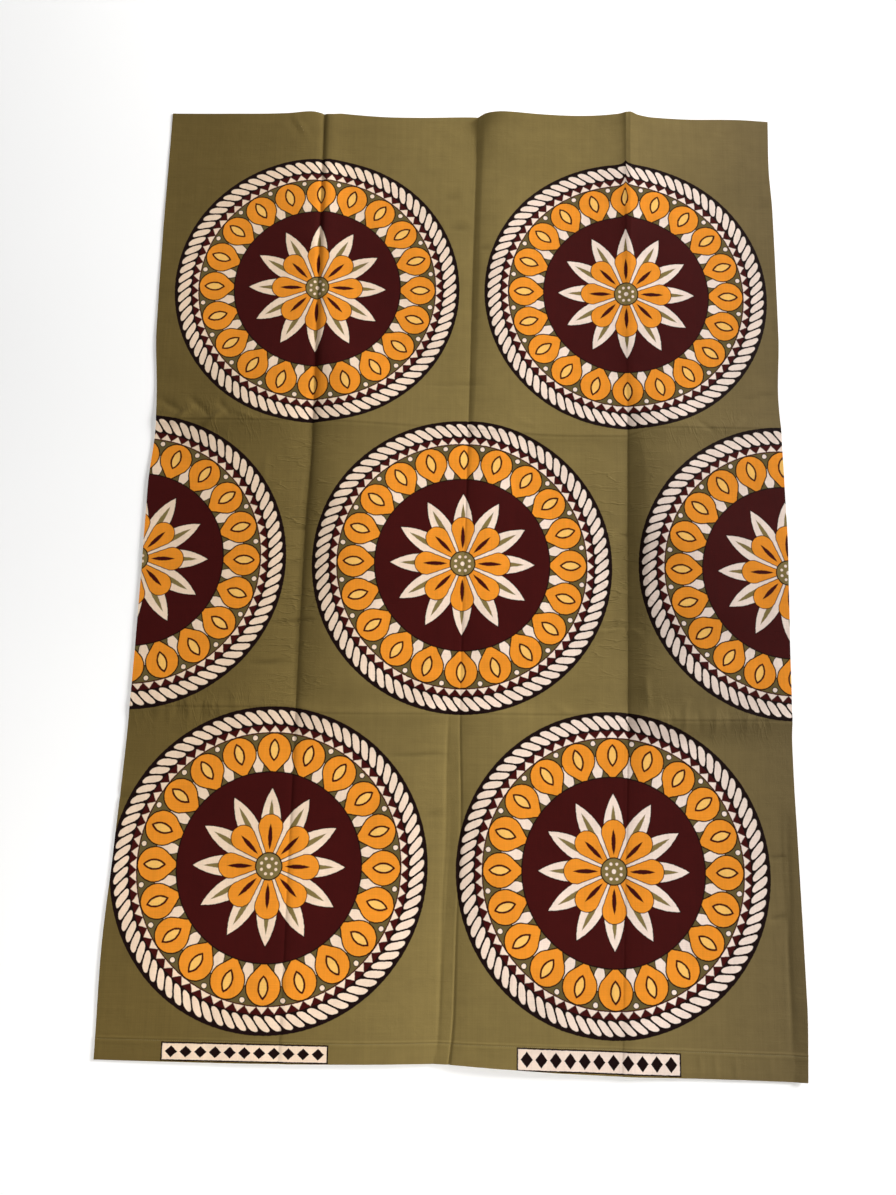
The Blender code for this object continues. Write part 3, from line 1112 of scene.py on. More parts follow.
class LeafShape(ShaderGroup):
    """The distance to a leaf that is pointed at both ends, below zero inside it."""

    name = "leaf_shape"
    inputs = {"Side": 0.0, "Out": 0.0, "Base": 0.1, "Tip": 0.2, "Half Width": 0.02}
    outputs = ("Distance",)

    def draw(self, given: dict[str, Wire]) -> dict[str, Wire]:
        """Draws the leaf as the part that two circles share.

        Args:
            given: The group's inputs.

        Returns:
            The distance to the outline.
        """
        half = (given["Tip"] - given["Base"]) * 0.5
        width = given["Half Width"]
        radius = (half * half + width * width) / (width * 2.0)
        across = given["Side"] + (radius - width)
        out = given["Out"] - (given["Base"] + half)
        return {"Distance": length_of(across, out) - radius}


class DropShape(ShaderGroup):
    """The distance to a drop with a round head and a pointed foot, below zero inside it."""

    name = "drop_shape"
    inputs = {"Side": 0.0, "Out": 0.0, "Foot": 0.1, "Tip": 0.2, "Head": 0.02}
    outputs = ("Distance",)

    def draw(self, given: dict[str, Wire]) -> dict[str, Wire]:
        """Draws the drop as a circle and the two lines that reach it from the foot.

        Args:
            given: The group's inputs.

        Returns:
            The distance to the outline.
        """
        head, side = given["Head"], given["Side"]
        out = given["Out"] - given["Foot"]
        centre = given["Tip"] - head - given["Foot"]
        lean = head / centre
        rest = (lean * lean * -1.0 + 1.0).root()
        to_line = side * rest - out * lean
        to_head = length_of(side, out - centre) - head
        on_line = (side * lean + out * rest).below(centre * rest)
        return {"Distance": mix_numbers(on_line, to_head, to_line)}


class RopeRing(ShaderGroup):
    """A ring of slanting strands, as of a rope laid round a disc."""

    name = "rope_ring"
    inputs = {"Radius": 0.0, "Turn": 0.0, "Inner": 0.2, "Outer": 0.22, "Count": 72.0, "Slant": 0.5}
    outputs = ("Mask",)
    slimness: ClassVar[float] = 5.9
    edge: ClassVar[float] = 4.0
    fullness: ClassVar[float] = 4.2

    def draw(self, given: dict[str, Wire]) -> dict[str, Wire]:
        """Draws each strand as a slanting rounded bar.

        Args:
            given: The group's inputs.

        Returns:
            1 on the strands and 0 elsewhere.
        """
        middle = (given["Inner"] + given["Outer"]) * 0.5
        half = (given["Outer"] - given["Inner"]) * 0.5
        height = (given["Radius"] - middle) / half
        beside = (given["Turn"] * given["Count"] + height * given["Slant"]).folded(-0.5, 0.5)
        square = height * height
        from_middle = beside * beside * self.slimness + square * square
        return {"Mask": from_middle.ramp(-self.edge, self.fullness)}


class ToothRing(ShaderGroup):
    """A ring of small pointed teeth."""

    name = "tooth_ring"
    inputs = {"Radius": 0.0, "Turn": 0.0, "Inner": 0.14, "Outer": 0.15, "Count": 60.0}
    outputs = ("Mask",)
    half_foot: ClassVar[float] = 0.46
    edge: ClassVar[float] = 12.0

    def draw(self, given: dict[str, Wire]) -> dict[str, Wire]:
        """Draws each tooth with its foot on the inner circle.

        Args:
            given: The group's inputs.

        Returns:
            1 on the teeth and 0 elsewhere.
        """
        height = (given["Radius"] - given["Inner"]) / (given["Outer"] - given["Inner"])
        beside = abs((given["Turn"] * given["Count"]).folded(-0.5, 0.5))
        tooth = (height * -0.5 + self.half_foot - beside).ramp(self.edge, 0.5)
        return {"Mask": tooth * height.ramp(self.edge, 0.5)}


class LozengeRow(ShaderGroup):
    """A framed strip with a plain row of lozenges in it."""

    name = "lozenge_row"
    inputs = {
        "Across": 0.0,
        "Along": 0.0,
        "Half Width": 0.13,
        "Half Height": 0.02,
        "Border": 0.002,
        "Count": 12.0,
    }
    outputs = ("Frame", "Plate", "Lozenge")
    frame_edge: ClassVar[float] = 1500.0
    lozenge_edge: ClassVar[float] = 14.0
    fill: ClassVar[float] = 0.42
    margin: ClassVar[float] = 2.4

    def draw(self, given: dict[str, Wire]) -> dict[str, Wire]:
        """Draws the frame, the plate within it and the lozenges on the plate.

        Args:
            given: The group's inputs.

        Returns:
            A mask of each.
        """
        wide, high, border = given["Half Width"], given["Half Height"], given["Border"]
        outside = (abs(given["Across"]) - wide).at_least(abs(given["Along"]) - high)
        plate = (outside + border).ramp(-self.frame_edge, 0.5)
        step = (wide - border * 2.0) * 2.0 / given["Count"]
        beside = given["Across"].folded(step * -0.5, step * 0.5)
        inner = high - border * self.margin
        size = abs(beside) / (step * self.fill) + abs(given["Along"]) / inner
        lozenge = size.ramp(-self.lozenge_edge, self.lozenge_edge + 0.5)
        frame = outside.ramp(-self.frame_edge, 0.5)
        return {"Frame": frame, "Plate": plate, "Lozenge": lozenge * plate}


class Slub(NamedTuple):
    """How uneven threads show: how often they change across and along, and how strongly."""

    across: float
    along: float
    shift: float
    detail: float
    share: float


class PlainWeave(ShaderGroup):
    """Plain weave: threads that pass over and under each other, some thicker than others."""

    name = "plain_weave"
    inputs = {"Across": 0.0, "Along": 0.0, "Pitch": 0.0004, "Slubs": 1.0}
    outputs = ("Height", "Shade")
    weave_height: ClassVar[float] = 0.25
    slub_height: ClassVar[float] = 0.6
    weave_shade: ClassVar[float] = 0.2
    kinds: ClassVar[tuple[Slub, ...]] = table(
        Slub,
        (12.0, 900.0, 0.0, 1.0, 0.6), (900.0, 10.0, 3.7, 1.0, 0.5),
        (120.0, 5.0, 8.1, 3.0, 0.45), (6.0, 80.0, 5.3, 3.0, 0.25),
    )

    def draw(self, given: dict[str, Wire]) -> dict[str, Wire]:
        """Draws the weave's relief, and the thicker threads that run along and across.

        Args:
            given: The group's inputs.

        Returns:
            A height from 0 to 1, and a shade that varies about 0.
        """
        across, along_it, pitch = given["Across"], given["Along"], given["Pitch"]
        weft = (across / pitch * FULL_TURN).math("SINE")
        warp = (along_it / pitch * FULL_TURN).math("SINE")
        weave = weft * warp * self.weave_height
        thick = []
        for kind in self.kinds:
            place = combined(across * kind.across, along_it * kind.along, kind.shift)
            thick.append((noise(place, 1.0, kind.detail) - 0.5) * kind.share)
        slubs = (thick[0] + thick[1] + thick[2] + thick[3]) * given["Slubs"]
        height = weave + slubs * self.slub_height + 0.5
        return {"Height": height, "Shade": slubs + weave * self.weave_shade}


def ink_mask(distance: Wire, grow: float = 0.0, soft: float = 0.0005) -> Wire:
    """Turns the distance to a shape into a mask of its ink.

    Args:
        distance: The distance to the outline, below zero inside.
        grow: How far the ink reaches past the outline.
        soft: Half the width of the ink's soft edge.

    Returns:
        1 under the ink and 0 elsewhere.
    """
    sharpness = 0.5 / soft
    return distance.ramp(-sharpness, 0.5 + grow * sharpness)


class Leaf(NamedTuple):
    """A leaf of a disc's print: where it starts and ends, and its half width."""

    base: float
    tip: float
    half_width: float

    def distance(self, side: Wire, out: Wire) -> Wire:
        """The distance to the leaf from a place beside and out along its middle line."""
        base, tip, half_width = self
        return LeafShape().use(side=side, out=out, base=base, tip=tip, half_width=half_width)[0]


class Drop(NamedTuple):
    """A drop of a disc's print: where it starts and ends, and its head's radius."""

    foot: float
    tip: float
    head: float

    def distance(self, side: Wire, out: Wire) -> Wire:
        """The distance to the drop from a place beside and out along its middle line."""
        return DropShape().use(side=side, out=out, foot=self.foot, tip=self.tip, head=self.head)[0]


class Dot(NamedTuple):
    """A round dot of a disc's print: how far out it lies, and its radius."""

    place: float
    radius: float

    def distance(self, side: Wire, out: Wire) -> Wire:
        """The distance to the dot from a place beside and out along its middle line."""
        return length_of(side, out - self.place) - self.radius


@dataclass(frozen=True)
class Motif:
    """A layer of a disc's print: a shape repeated round its centre, in metres.

    The black line round it and the ink's growth are measured outwards from its outline.
    """

    shape: Leaf | Drop | Dot
    ink: Ink
    count: float
    start: float = 0.0
    line: float = 0.0
    grow: float = 0.0


BOLD = 0.0019
THIN = 0.0012
# From the ring of petals inwards: leaves, petals with their eyes, beads, the field and its rosette
MOTIFS = (
    Motif(Leaf(0.1425, 0.182, 0.0085), Ink.CREAM_IN_COOL_LIGHT, 20.0, start=0.5, line=THIN),
    Motif(Drop(0.1440, 0.2084, 0.0262), Ink.ORANGE, 20.0, line=BOLD),
    Motif(Leaf(0.164, 0.2010, 0.0088), Ink.MAROON, 20.0),
    Motif(Leaf(0.164, 0.2010, 0.0088), Ink.GOLD, 20.0, grow=-0.0030),
    Motif(Dot(0.2034, 0.0038), Ink.CREAM_IN_COOL_LIGHT, 20.0, start=0.5, line=THIN),
    Motif(Dot(0.0, 0.1465), Ink.MAROON, 12.0, line=BOLD),
    Motif(Leaf(0.010, 0.121, 0.0160), Ink.CREAM_IN_COOL_LIGHT, 12.0, line=THIN),
    Motif(Leaf(0.04, 0.104, 0.0040), Ink.OLIVE, 12.0),
    Motif(Drop(0.006, 0.080, 0.0190), Ink.ORANGE, 8.0, line=THIN),
    Motif(Leaf(0.026, 0.066, 0.0034), Ink.MAROON, 8.0),
    Motif(Dot(0.0, 0.020), Ink.OLIVE, 8.0, line=BOLD),
    Motif(Dot(0.0125, 0.0024), Ink.CREAM_IN_COOL_LIGHT, 8.0, start=0.5),
    Motif(Dot(0.0, 0.0036), Ink.CREAM_IN_COOL_LIGHT, 8.0, start=0.5),
)


@dataclass(frozen=True)
class DiscPrint:
    """The sizes of the round print, in metres from a disc's centre."""

    radius: float = 0.2525
    step: float = 0.55
    row: float = 0.496
    lean: float = 0.0182
    aside: float = -0.0082
    centre_across: float = 0.001
    centre_along: float = -0.0215
    rim: float = 0.2472
    rope_inner: float = 0.2235
    rope_count: float = 84.0
    rope_slant: float = 0.55
    tooth_inner: float = 0.2110
    tooth_outer: float = 0.2218
    tooth_count: float = 72.0


@dataclass(frozen=True)
class StripPrint:
    """A framed strip that is printed beside the hem, in metres."""

    left: float
    right: float
    top: float
    height: float
    slope: float
    border: float = 0.0022
    count: float = 11.0


@dataclass(frozen=True)
class FineCreases:
    """Creases that are too fine for the mesh, most of them beside the folds, in metres."""

    rate: float = 82.0
    run: float = 24.0
    slant: float = 0.22
    upright_shift: float = 2.6
    level_shift: float = 7.3
    long_fold: float = 0.272
    long_reach: float = 0.075
    long_middle: float = -0.02
    long_half: float = 0.28
    cross_middle: float = -0.0265
    cross_fold: float = 0.2451
    cross_reach: float = 0.050
    side_middle: float = 0.43
    side_reach: float = 0.16
    upright: tuple[float, float] = (0.00026, 0.00005)
    level: tuple[float, float] = (0.00075, 0.00008)
    sharpness: float = 16.0
    gap_rate: float = 0.4
    gap_ramp: tuple[float, float] = (5.0, -1.9)

    def relief(self, across: Wire, along_it: Wire) -> Wire:
        """Draws the creases.

        Args:
            across: Places across the flat cloth.
            along_it: Places along it.

        Returns:
            Their height, in metres.
        """
        slanting = across + along_it * self.slant
        upright = self.lines(
            combined(slanting * self.rate, along_it * self.run, self.upright_shift)
        )
        level = self.lines(combined(across * self.run, along_it * self.rate, self.level_shift))
        beside_long = self.near(abs(across) - self.long_fold, self.long_reach)
        beside_long = beside_long * self.near(along_it - self.long_middle, self.long_half)
        from_cross = abs(along_it - self.cross_middle) - self.cross_fold
        beside_cross = self.near(from_cross, self.cross_reach)
        beside_cross = beside_cross * self.near(abs(across) - self.side_middle, self.side_reach)
        upright_height = beside_cross * self.upright[0] + self.upright[1]
        level_height = beside_long * self.level[0] + self.level[1]
        return upright * upright_height + level * level_height

    def lines(self, place: Wire) -> Wire:
        """Draws broken thin lines, from 0 beside them to 1 on them."""
        line = abs(noise(place, 1.0, 2.0) - 0.5).ramp(-self.sharpness, 1.0)
        return line * noise(place, self.gap_rate, 1.0).ramp(*self.gap_ramp)

    def near(self, distance: Wire, reach: float) -> Wire:
        """Falls smoothly from 1 on a line to 0 at its reach."""
        return (distance * distance).ramp(-1.0 / reach**2, 1.0)


@dataclass(frozen=True)
class PrintedCotton:
    """The finish of the cloth: plain-woven cotton with a dyed ground and a printed design."""

    name: str = "printed_cotton"
    disc: DiscPrint = DiscPrint()
    strips: tuple[StripPrint, ...] = (
        StripPrint(-0.453, -0.195, -0.7810, 0.0275, -0.001),
        StripPrint(0.095, 0.350, -0.7835, 0.0345, -0.008),
    )
    creases: FineCreases = FineCreases()
    ink_grain: float = 190.0
    ink_creep: float = 0.0016
    # How quickly the cream's painted light tint turns from warm to cool across the cloth
    cream_turning: float = 1.6
    # Painted shade towards the left and right edges, with a painted tint of warmer light on the
    # left and cooler light on the right
    edge_shade_middle: float = 0.08
    edge_shade_start: float = 0.1
    edge_shade_reach: float = 0.42
    edge_tint_turning: float = 2.5
    mottles: tuple[tuple[float, float, float], ...] = ((9.0, 3.0, 0.18), (40.0, 4.0, 0.20))
    weave_pitch: float = 0.0004
    weave_shade: float = 0.34
    weave_relief: float = 0.00008
    crumple: float = 30.0
    crumple_relief: float = 0.00060
    # How much painted shade darkens the print on the pressed lines and in the deep creases
    painted_crease_shade: float = -0.12
    back_bareness: float = 0.55
    roughness: float = 0.84
    worn_roughness: float = 0.05
    ink_gloss: float = 0.07
    slub_roughness: float = 0.10

    def material(self) -> bpy.types.Material:
        """Builds the material.

        Returns:
            A material that reads the cloth's own flat places, and its fold wear with the painted
            crease shade.
        """
        plain = {
            "Sheen Weight": 0.04,
            "Sheen Roughness": 0.5,
            "Sheen Tint": (1.0, 0.97, 0.9, 1.0),
            "Specular IOR Level": 0.07,
        }
        material, shader = blank_material(self.name, plain)
        tree = material.node_tree
        flat = Wire(add_node(tree, "ShaderNodeAttribute", attribute_name=FLAT_PLACE).outputs[1])
        # The fold wear roughens the print and also carries painted shade, which darkens it along
        # the pressed lines and in the deep creases
        wear_and_crease_shade = Wire(add_node(tree, "ShaderNodeAttribute", attribute_name=FOLD_WEAR_AND_SHADE).outputs[2])
        across, along_it, back = split(flat)
        grain = noise(flat, self.ink_grain) - 0.5
        turned_grain = noise(combined(along_it, across), self.ink_grain) - 0.5
        inked_across = across + grain * self.ink_creep
        inked_along = along_it + turned_grain * self.ink_creep
        colour, dark = self.printed(inked_across, inked_along)
        weave, shade = PlainWeave().use(
            across=across, along=along_it, pitch=self.weave_pitch, slubs=1.0
        )
        value = shade * self.weave_shade + 1.0
        for rate, detail, share in self.mottles:
            value = value + (noise(flat, rate, detail) - 0.5) * share
        # The soft patches are painted light and painted shade.
        value = value * (wear_and_crease_shade * self.painted_crease_shade + 1.0) * self.painted_light_and_shade(across, along_it)
        relief = weave * self.weave_relief + noise(flat, self.crumple, 4.0) * self.crumple_relief
        rough = wear_and_crease_shade * self.worn_roughness - dark * self.ink_gloss
        rough = rough + shade * self.slub_roughness + self.roughness
        colour = paint(back * self.back_bareness, colour, Ink.BARE_BACK)
        dress(shader, colour, value, rough, relief + self.creases.relief(across, along_it))
        return material

    def painted_light_and_shade(self, across: Wire, along_it: Wire) -> Wire:
        """Works out the painted light and painted shade of the soft patches at each place.

        Args:
            across: Places across the flat cloth.
            along_it: Places along it.

        Returns:
            A factor of about 1.
        """
        total: Feed = 1.0
        for patch in PAINTED_LIGHT_AND_SHADE_PATCHES:
            beside = (across - patch.x * MM) / (patch.half_width * MM)
            above = (along_it - patch.y * MM) / (patch.half_length * MM)
            inside = (beside * beside + above * above).ramp(-1.0, 1.0)
            total = inside * inside * patch.change + total
        return total

    def printed(self, across: Wire, along_it: Wire) -> tuple[Wire, Wire]:
        """Draws the whole print.

        Args:
            across: Places across the flat cloth.
            along_it: Places along it.

        Returns:
            The colour, and a mask of the black ink.
        """
        disc = self.disc
        local_across, local_along = NearestDisc().use(
            across=across - disc.centre_across,
            along=along_it - disc.centre_along,
            step=disc.step,
            row=disc.row,
            lean=disc.lean,
            aside=disc.aside,
        )
        radius = length_of(local_across, local_along)
        turn = local_across.math("ARCTAN2", local_along) / FULL_TURN
        # The cream ink has a painted tint: warmer light on the left, cooler light on the right
        rightward = across.ramp(self.cream_turning, 0.5)
        light_tinted_cream = paint(rightward, Ink.CREAM_IN_WARM_LIGHT, Ink.CREAM_IN_COOL_LIGHT)
        rim = ink_mask(radius - disc.radius)
        colour = paint(rim, self.ground(across), Ink.BLACK)
        rope = RopeRing().use(
            radius=radius,
            turn=turn,
            inner=disc.rope_inner,
            outer=disc.rim,
            count=disc.rope_count,
            slant=disc.rope_slant,
        )[0]
        colour = paint(rope, colour, light_tinted_cream)
        inner = ink_mask(radius - disc.tooth_outer)
        colour = paint(inner, colour, Ink.MAROON)
        teeth = ToothRing().use(
            radius=radius,
            turn=turn,
            inner=disc.tooth_inner,
            outer=disc.tooth_outer,
            count=disc.tooth_count,
        )[0]
        colour = paint(teeth, colour, light_tinted_cream)
        ring = ink_mask(radius - (disc.tooth_inner - BOLD))
        colour = paint(ring, colour, Ink.DEEP_OLIVE)
        colour = self.motifs(colour, light_tinted_cream, radius, turn)
        for strip in self.strips:
            colour = self.strip(colour, light_tinted_cream, strip, across, along_it)
        return colour, (rim - inner - rope).at_least(0.0)

    def ground(self, across: Wire) -> Wire:
        """Colours the ground, with painted shade that darkens it towards the left and right edges,
        and a painted tint of warmer light on the left and cooler light on the right.

        Args:
            across: Places across the flat cloth.

        Returns:
            The ground's colour.
        """
        beside = abs(across - self.edge_shade_middle) - self.edge_shade_start
        # Painted shade at the edges, tinted by warmer light on the left and cooler light on the
        # right
        edge = paint(across.ramp(self.edge_tint_turning, 0.5), Ink.LEFT_SHADED_WARM_OLIVE, Ink.RIGHT_SHADED_COOL_OLIVE)
        return paint(beside.ramp(1.0 / self.edge_shade_reach, 0.0), Ink.OLIVE, edge)

    def motifs(self, colour: Wire, light_tinted_cream: Wire, radius: Wire, turn: Wire) -> Wire:
        """Prints the motifs of the discs, one over another.

        Args:
            colour: What lies under them.
            light_tinted_cream: The cream ink, with its painted tint of warmer light on the left and
                cooler light on the right.
            radius: The distance from the disc's centre.
            turn: The turn round it.

        Returns:
            The colour with the motifs on it.
        """
        rows: dict[tuple[float, float], list[Wire]] = {}
        for motif in MOTIFS:
            key = (motif.count, motif.start)
            if key not in rows:
                rows[key] = RoundRow().use(
                    radius=radius, turn=turn, count=motif.count, start=motif.start
                )
            distance = motif.shape.distance(*rows[key])
            if motif.line:
                colour = paint(ink_mask(distance, motif.line), colour, Ink.BLACK)
            # The cream motifs take the cream with its painted light tint
            ink = light_tinted_cream if motif.ink is Ink.CREAM_IN_COOL_LIGHT else motif.ink
            colour = paint(ink_mask(distance, motif.grow), colour, ink)
        return colour

    def strip(
        self, colour: Wire, light_tinted_cream: Wire, strip: StripPrint, across: Wire, along_it: Wire
    ) -> Wire:
        """Draws one of the framed strips beside the hem.

        Args:
            colour: What lies under it.
            light_tinted_cream: The cream ink, with its painted tint of warmer light on the left and
                cooler light on the right.
            strip: The strip's place and size.
            across: Places across the flat cloth.
            along_it: Places along it.

        Returns:
            The colour with the strip on it.
        """
        half_width = (strip.right - strip.left) / 2.0
        beside = across - (strip.left + half_width)
        level = along_it - beside * (strip.slope / (2.0 * half_width))
        frame, plate, lozenge = LozengeRow().use(
            across=beside,
            along=level - (strip.top - strip.height / 2.0),
            half_width=half_width,
            half_height=strip.height / 2.0,
            border=strip.border,
            count=strip.count,
        )
        colour = paint(frame, colour, Ink.BLACK)
        colour = paint(plate, colour, light_tinted_cream)
        return paint(lozenge, colour, Ink.BLACK)


@dataclass(frozen=True)
class StitchThread:
    """The finish of the hem's sewing thread."""

    name: str = "hem_thread"
    colour: tuple[int, int, int] = (140, 131, 92)
    roughness: float = 0.62
    twist: float = 0.0003
    fuzz: float = 0.4
    relief: float = 0.00004
    shade_roughness: float = 0.15
    shade_strength: float = 0.3

    def material(self) -> bpy.types.Material:
        """Builds the material.

        Returns:
            A thread material with a fine twist.
        """
        plain = {"Sheen Weight": 0.15, "Specular IOR Level": 0.35}
        material, shader = blank_material(self.name, plain)
        place = add_node(material.node_tree, "ShaderNodeTexCoord").outputs["Object"]
        across, along_it, _ = split(Wire(place))
        height, shade = PlainWeave().use(
            across=across, along=along_it, pitch=self.twist, slubs=self.fuzz
        )
        value = shade * self.shade_strength + 1.0
        rough = shade * self.shade_roughness + self.roughness
        dress(shader, from_screen(*self.colour), value, rough, height * self.relief)
        return material


def linked_object(name: str, data: bpy.types.ID) -> bpy.types.Object:
    """Puts a mesh, a light or a camera in the scene as an object at the origin.

    Args:
        name: The object's name.
        data: What it holds.

    Returns:
        The new object.
    """
    new = bpy.data.objects.new(name, data)
    bpy.context.scene.collection.objects.link(new)
    return new


def both_sides(values: Grid) -> Grid:
    """Lists values for the shell's points: all of the upper side, then every other below."""
    return np.concatenate((values.ravel(), values[::2, ::2].ravel()))


@dataclass(frozen=True)
class BakeMap:
    """Where the shell's parts lie on the map that its material is baked to."""

    scale: float = 0.592
    margin: float = 0.004
    back_scale: float = 0.46
    back_place: tuple[float, float] = (0.678, 0.0)
    rim_place: tuple[float, float] = (0.70, 0.51)
    rim_length: float = 0.96
    rim_width: float = 0.012
    rim_gap: float = 0.04

    def places(self, corners: Grid, flat: Grid, y: Grid) -> Grid:
        """Lays out the upper side large, with the underside and the rim beside it.

        Args:
            corners: The number of the point at each corner of the shell's faces.
            flat: Places across the flat cloth.
            y: Places along it.

        Returns:
            The place of each corner on the map.
        """
        u = (both_sides(flat) - flat.min()) * self.scale + self.margin
        v = (both_sides(y) - y.min()) * self.scale + self.margin
        places = np.stack((u, v), axis=-1)
        places[flat.size :] = places[flat.size :] * self.back_scale + self.back_place
        places = places[corners]
        count = sum(flat.shape) - 2
        places[-5 * count :] = self.rim(count).reshape(-1, 2)
        return places

    def rim(self, count: int) -> Grid:
        """Lays out the rim's faces in two strips side by side.

        Args:
            count: How many faces there are.

        Returns:
            The places of each face's five corners.
        """
        around = np.linspace(0.0, self.rim_length, count + 1)
        strip = np.minimum((around[:-1] * 2.0).astype(int), 1)
        start = self.rim_place[1] + around[:-1] - strip * self.rim_length / 2.0
        end = start + np.diff(around)
        width = self.rim_width * np.array((0.0, 1.0, 1.0, 0.0, 0.0))
        places = np.zeros((count, 5, 2))
        places[:, :, 0] = self.rim_place[0] + strip[:, None] * self.rim_gap + width
        places[:, :, 1] = np.stack((start, start, end, end, (start + end) / 2.0), axis=-1)
        return places


@dataclass
class WrapperPanel:
    """The cloth itself: one thin shell on the laid form."""

    form: LaidForm
    finish: PrintedCotton
    bake_map: BakeMap = BakeMap()
    cloth: float = 0.0006
    least_cloth: float = 0.0002
    probe: float = 1.0 * MM
    column_spaces: int = 300
    row_spaces: int = 260
    print_holds: tuple[float, ...] = (0.0, 0.13, 0.38, 0.66, 0.9, 1.0)
    tuck: float = 0.008
    tuck_reach: float = 0.005
    tuck_rows: tuple[float, float] = (0.45, 0.70)
    pull: float = 0.008
    slip: float = 0.006
    slip_columns: tuple[float, float] = (0.26, 0.42)
    slip_rows: tuple[float, float] = (-0.02, 0.21)

    def shares(self) -> tuple[Grid, Grid]:
        """Lays out the mesh's columns and rows.

        Returns:
            The share of the width of each column, and the share of the length of each row.
        """
        form = self.form
        folds = [fold.share for fold in form.long_folds]
        lines = [fold.share for fold in form.cross_folds]
        columns = graded_shares(self.column_spaces, form.width, COLUMN_BANDS, folds)
        return columns, graded_shares(self.row_spaces, form.length, ROW_BANDS, lines)

    def heights(self, x: Grid, y: Grid) -> tuple[Grid, Grid]:
        """Works out the upper side and the underside of the cloth.

        Args:
            x: Places across the cloth.
            y: Places along it.

        Returns:
            The heights of the upper side and of the underside.
        """
        rise, probe = self.form.rise, self.probe
        slope_x = (rise(x + probe, y) - rise(x - probe, y)) / (2.0 * probe)
        slope_y = (rise(x, y + probe) - rise(x, y - probe)) / (2.0 * probe)
        steepness = np.sqrt(1.0 + slope_x**2 + slope_y**2)
        upper = np.maximum(self.cloth + rise(x, y), self.least_cloth)
        lower = upper - (self.cloth + self.form.hem.thickness(x, y)) * steepness
        return upper, np.maximum(lower, 0.0)

    def flat_across(self, columns: Grid, x: Grid, height: Grid) -> Grid:
        """Finds where each point lies across the flat cloth, whose folds take up some width.

        Args:
            columns: The share of the width of each column.
            x: Places across the laid cloth.
            height: Heights of the upper side.

        Returns:
            Places across the flat cloth.
        """
        steps = np.hypot(np.diff(x, axis=1), np.diff(height, axis=1))
        run = np.concatenate((np.zeros((len(x), 1)), np.cumsum(steps, axis=1)), axis=1)
        held = [int(np.argmin(np.abs(columns - share))) for share in self.print_holds]
        flat = np.array(x)
        for left, right in zip(held, held[1:]):
            start, end = x[:, [left]], x[:, [right]]
            part = slice(left, right + 1)
            share = (run[:, part] - run[:, [left]]) / (run[:, [right]] - run[:, [left]])
            flat[:, part] = start + share * (end - start)
        return flat

    def sparse_underside(self, upper: Grid, lower: Grid) -> Grid:
        """Keeps every other point of the underside, low enough to stay below the upper side.

        Args:
            upper: Heights of the upper side.
            lower: Heights of the underside at the same points.

        Returns:
            Heights of the underside at every other row and column.
        """
        between = np.array(lower)
        between[1::2] = (between[:-1:2] + between[2::2]) / 2.0
        between[:, 1::2] = (between[:, :-1:2] + between[:, 2::2]) / 2.0
        excess = np.pad(np.maximum(between - upper + self.least_cloth, 0.0), 1)
        rows, columns = upper.shape
        near = [excess[i : i + rows : 2, j : j + columns : 2] for i in range(3) for j in range(3)]
        return np.maximum(lower[::2, ::2] - np.max(near, axis=0), 0.0)

    def build(self) -> bpy.types.Object:
        """Builds the cloth.

        Returns:
            The dressed cloth.
        """
        columns, rows = self.shares()
        x, y = self.form.place(*np.meshgrid(columns, rows))
        upper, lower = self.heights(x, y)
        tucked = self.tucked(x, y)
        flat_x = self.flat_across(columns, x, upper + self.tuck * tucked)
        flat_y = y + self.slack_along(x, y) - self.pull * tucked
        height = np.concatenate((upper.ravel(), self.sparse_underside(upper, lower).ravel()))
        points = np.stack((both_sides(x), both_sides(y), height), axis=-1)
        mesh = bpy.data.meshes.new(CAD_NODE)
        mesh.from_pydata(points.tolist(), [], self.faces(x.shape))
        mesh.update()
        self.store_places(mesh, flat_x, flat_y, self.form.wear_and_shade(x, y))
        mesh.shade_smooth()
        self.sharpen_rim(mesh, x.shape)
        mesh.materials.append(self.finish.material())
        return linked_object("printed_wrapper", mesh)

    def numbers(self, shape: tuple[int, int]) -> tuple[Grid, Grid]:
        """Numbers the points by row and column.

        Args:
            shape: How many rows and columns the upper side has.

        Returns:
            The numbers of the upper side, and those of the underside.
        """
        upper = np.arange(shape[0] * shape[1]).reshape(shape)
        sparse = upper[::2, ::2]
        return upper, upper.size + np.arange(sparse.size).reshape(sparse.shape)

    def faces(self, shape: tuple[int, int]) -> list[list[int]]:
        """Lists the faces of the closed shell.

        Args:
            shape: How many rows and columns the upper side has.

        Returns:
            The point numbers of each face: upper side, underside and then the rim.
        """
        upper, lower = self.numbers(shape)
        sides = []
        for number in (upper, lower):
            corners = (number[:-1, :-1], number[:-1, 1:], number[1:, 1:], number[1:, :-1])
            sides.append(np.stack(corners, axis=-1).reshape(-1, 4))
        edge, low = self.edge_points(upper), self.edge_points(lower)
        after = np.roll(edge, -2)
        rim = np.stack((edge[::2], low, np.roll(low, -1), after[::2], edge[1::2]), axis=-1)
        return [*sides[0].tolist(), *sides[1][:, ::-1].tolist(), *rim.tolist()]

    def edge_points(self, number: Grid) -> Grid:
        """The numbers of the points round the edge, turning left."""
        sides = (number[0, :-1], number[:-1, -1], number[-1, :0:-1], number[:0:-1, 0])
        return np.concatenate(sides)

    def tucked(self, x: Grid, y: Grid) -> Grid:
        """Where the last long fold is pinched up, which takes in some of the print, from 0 to 1."""
        beside = np.abs(self.form.long_folds[-1].distance(x, y)) / self.tuck_reach
        return np.exp(-beside) * soft_step(y, *self.tuck_rows)

    def slack_along(self, x: Grid, y: Grid) -> Grid:
        """How far the print has slipped along the cloth beyond the last long fold."""
        beyond = soft_step(x, *self.slip_columns)
        return self.slip * beyond * soft_bump(y, *self.slip_rows)

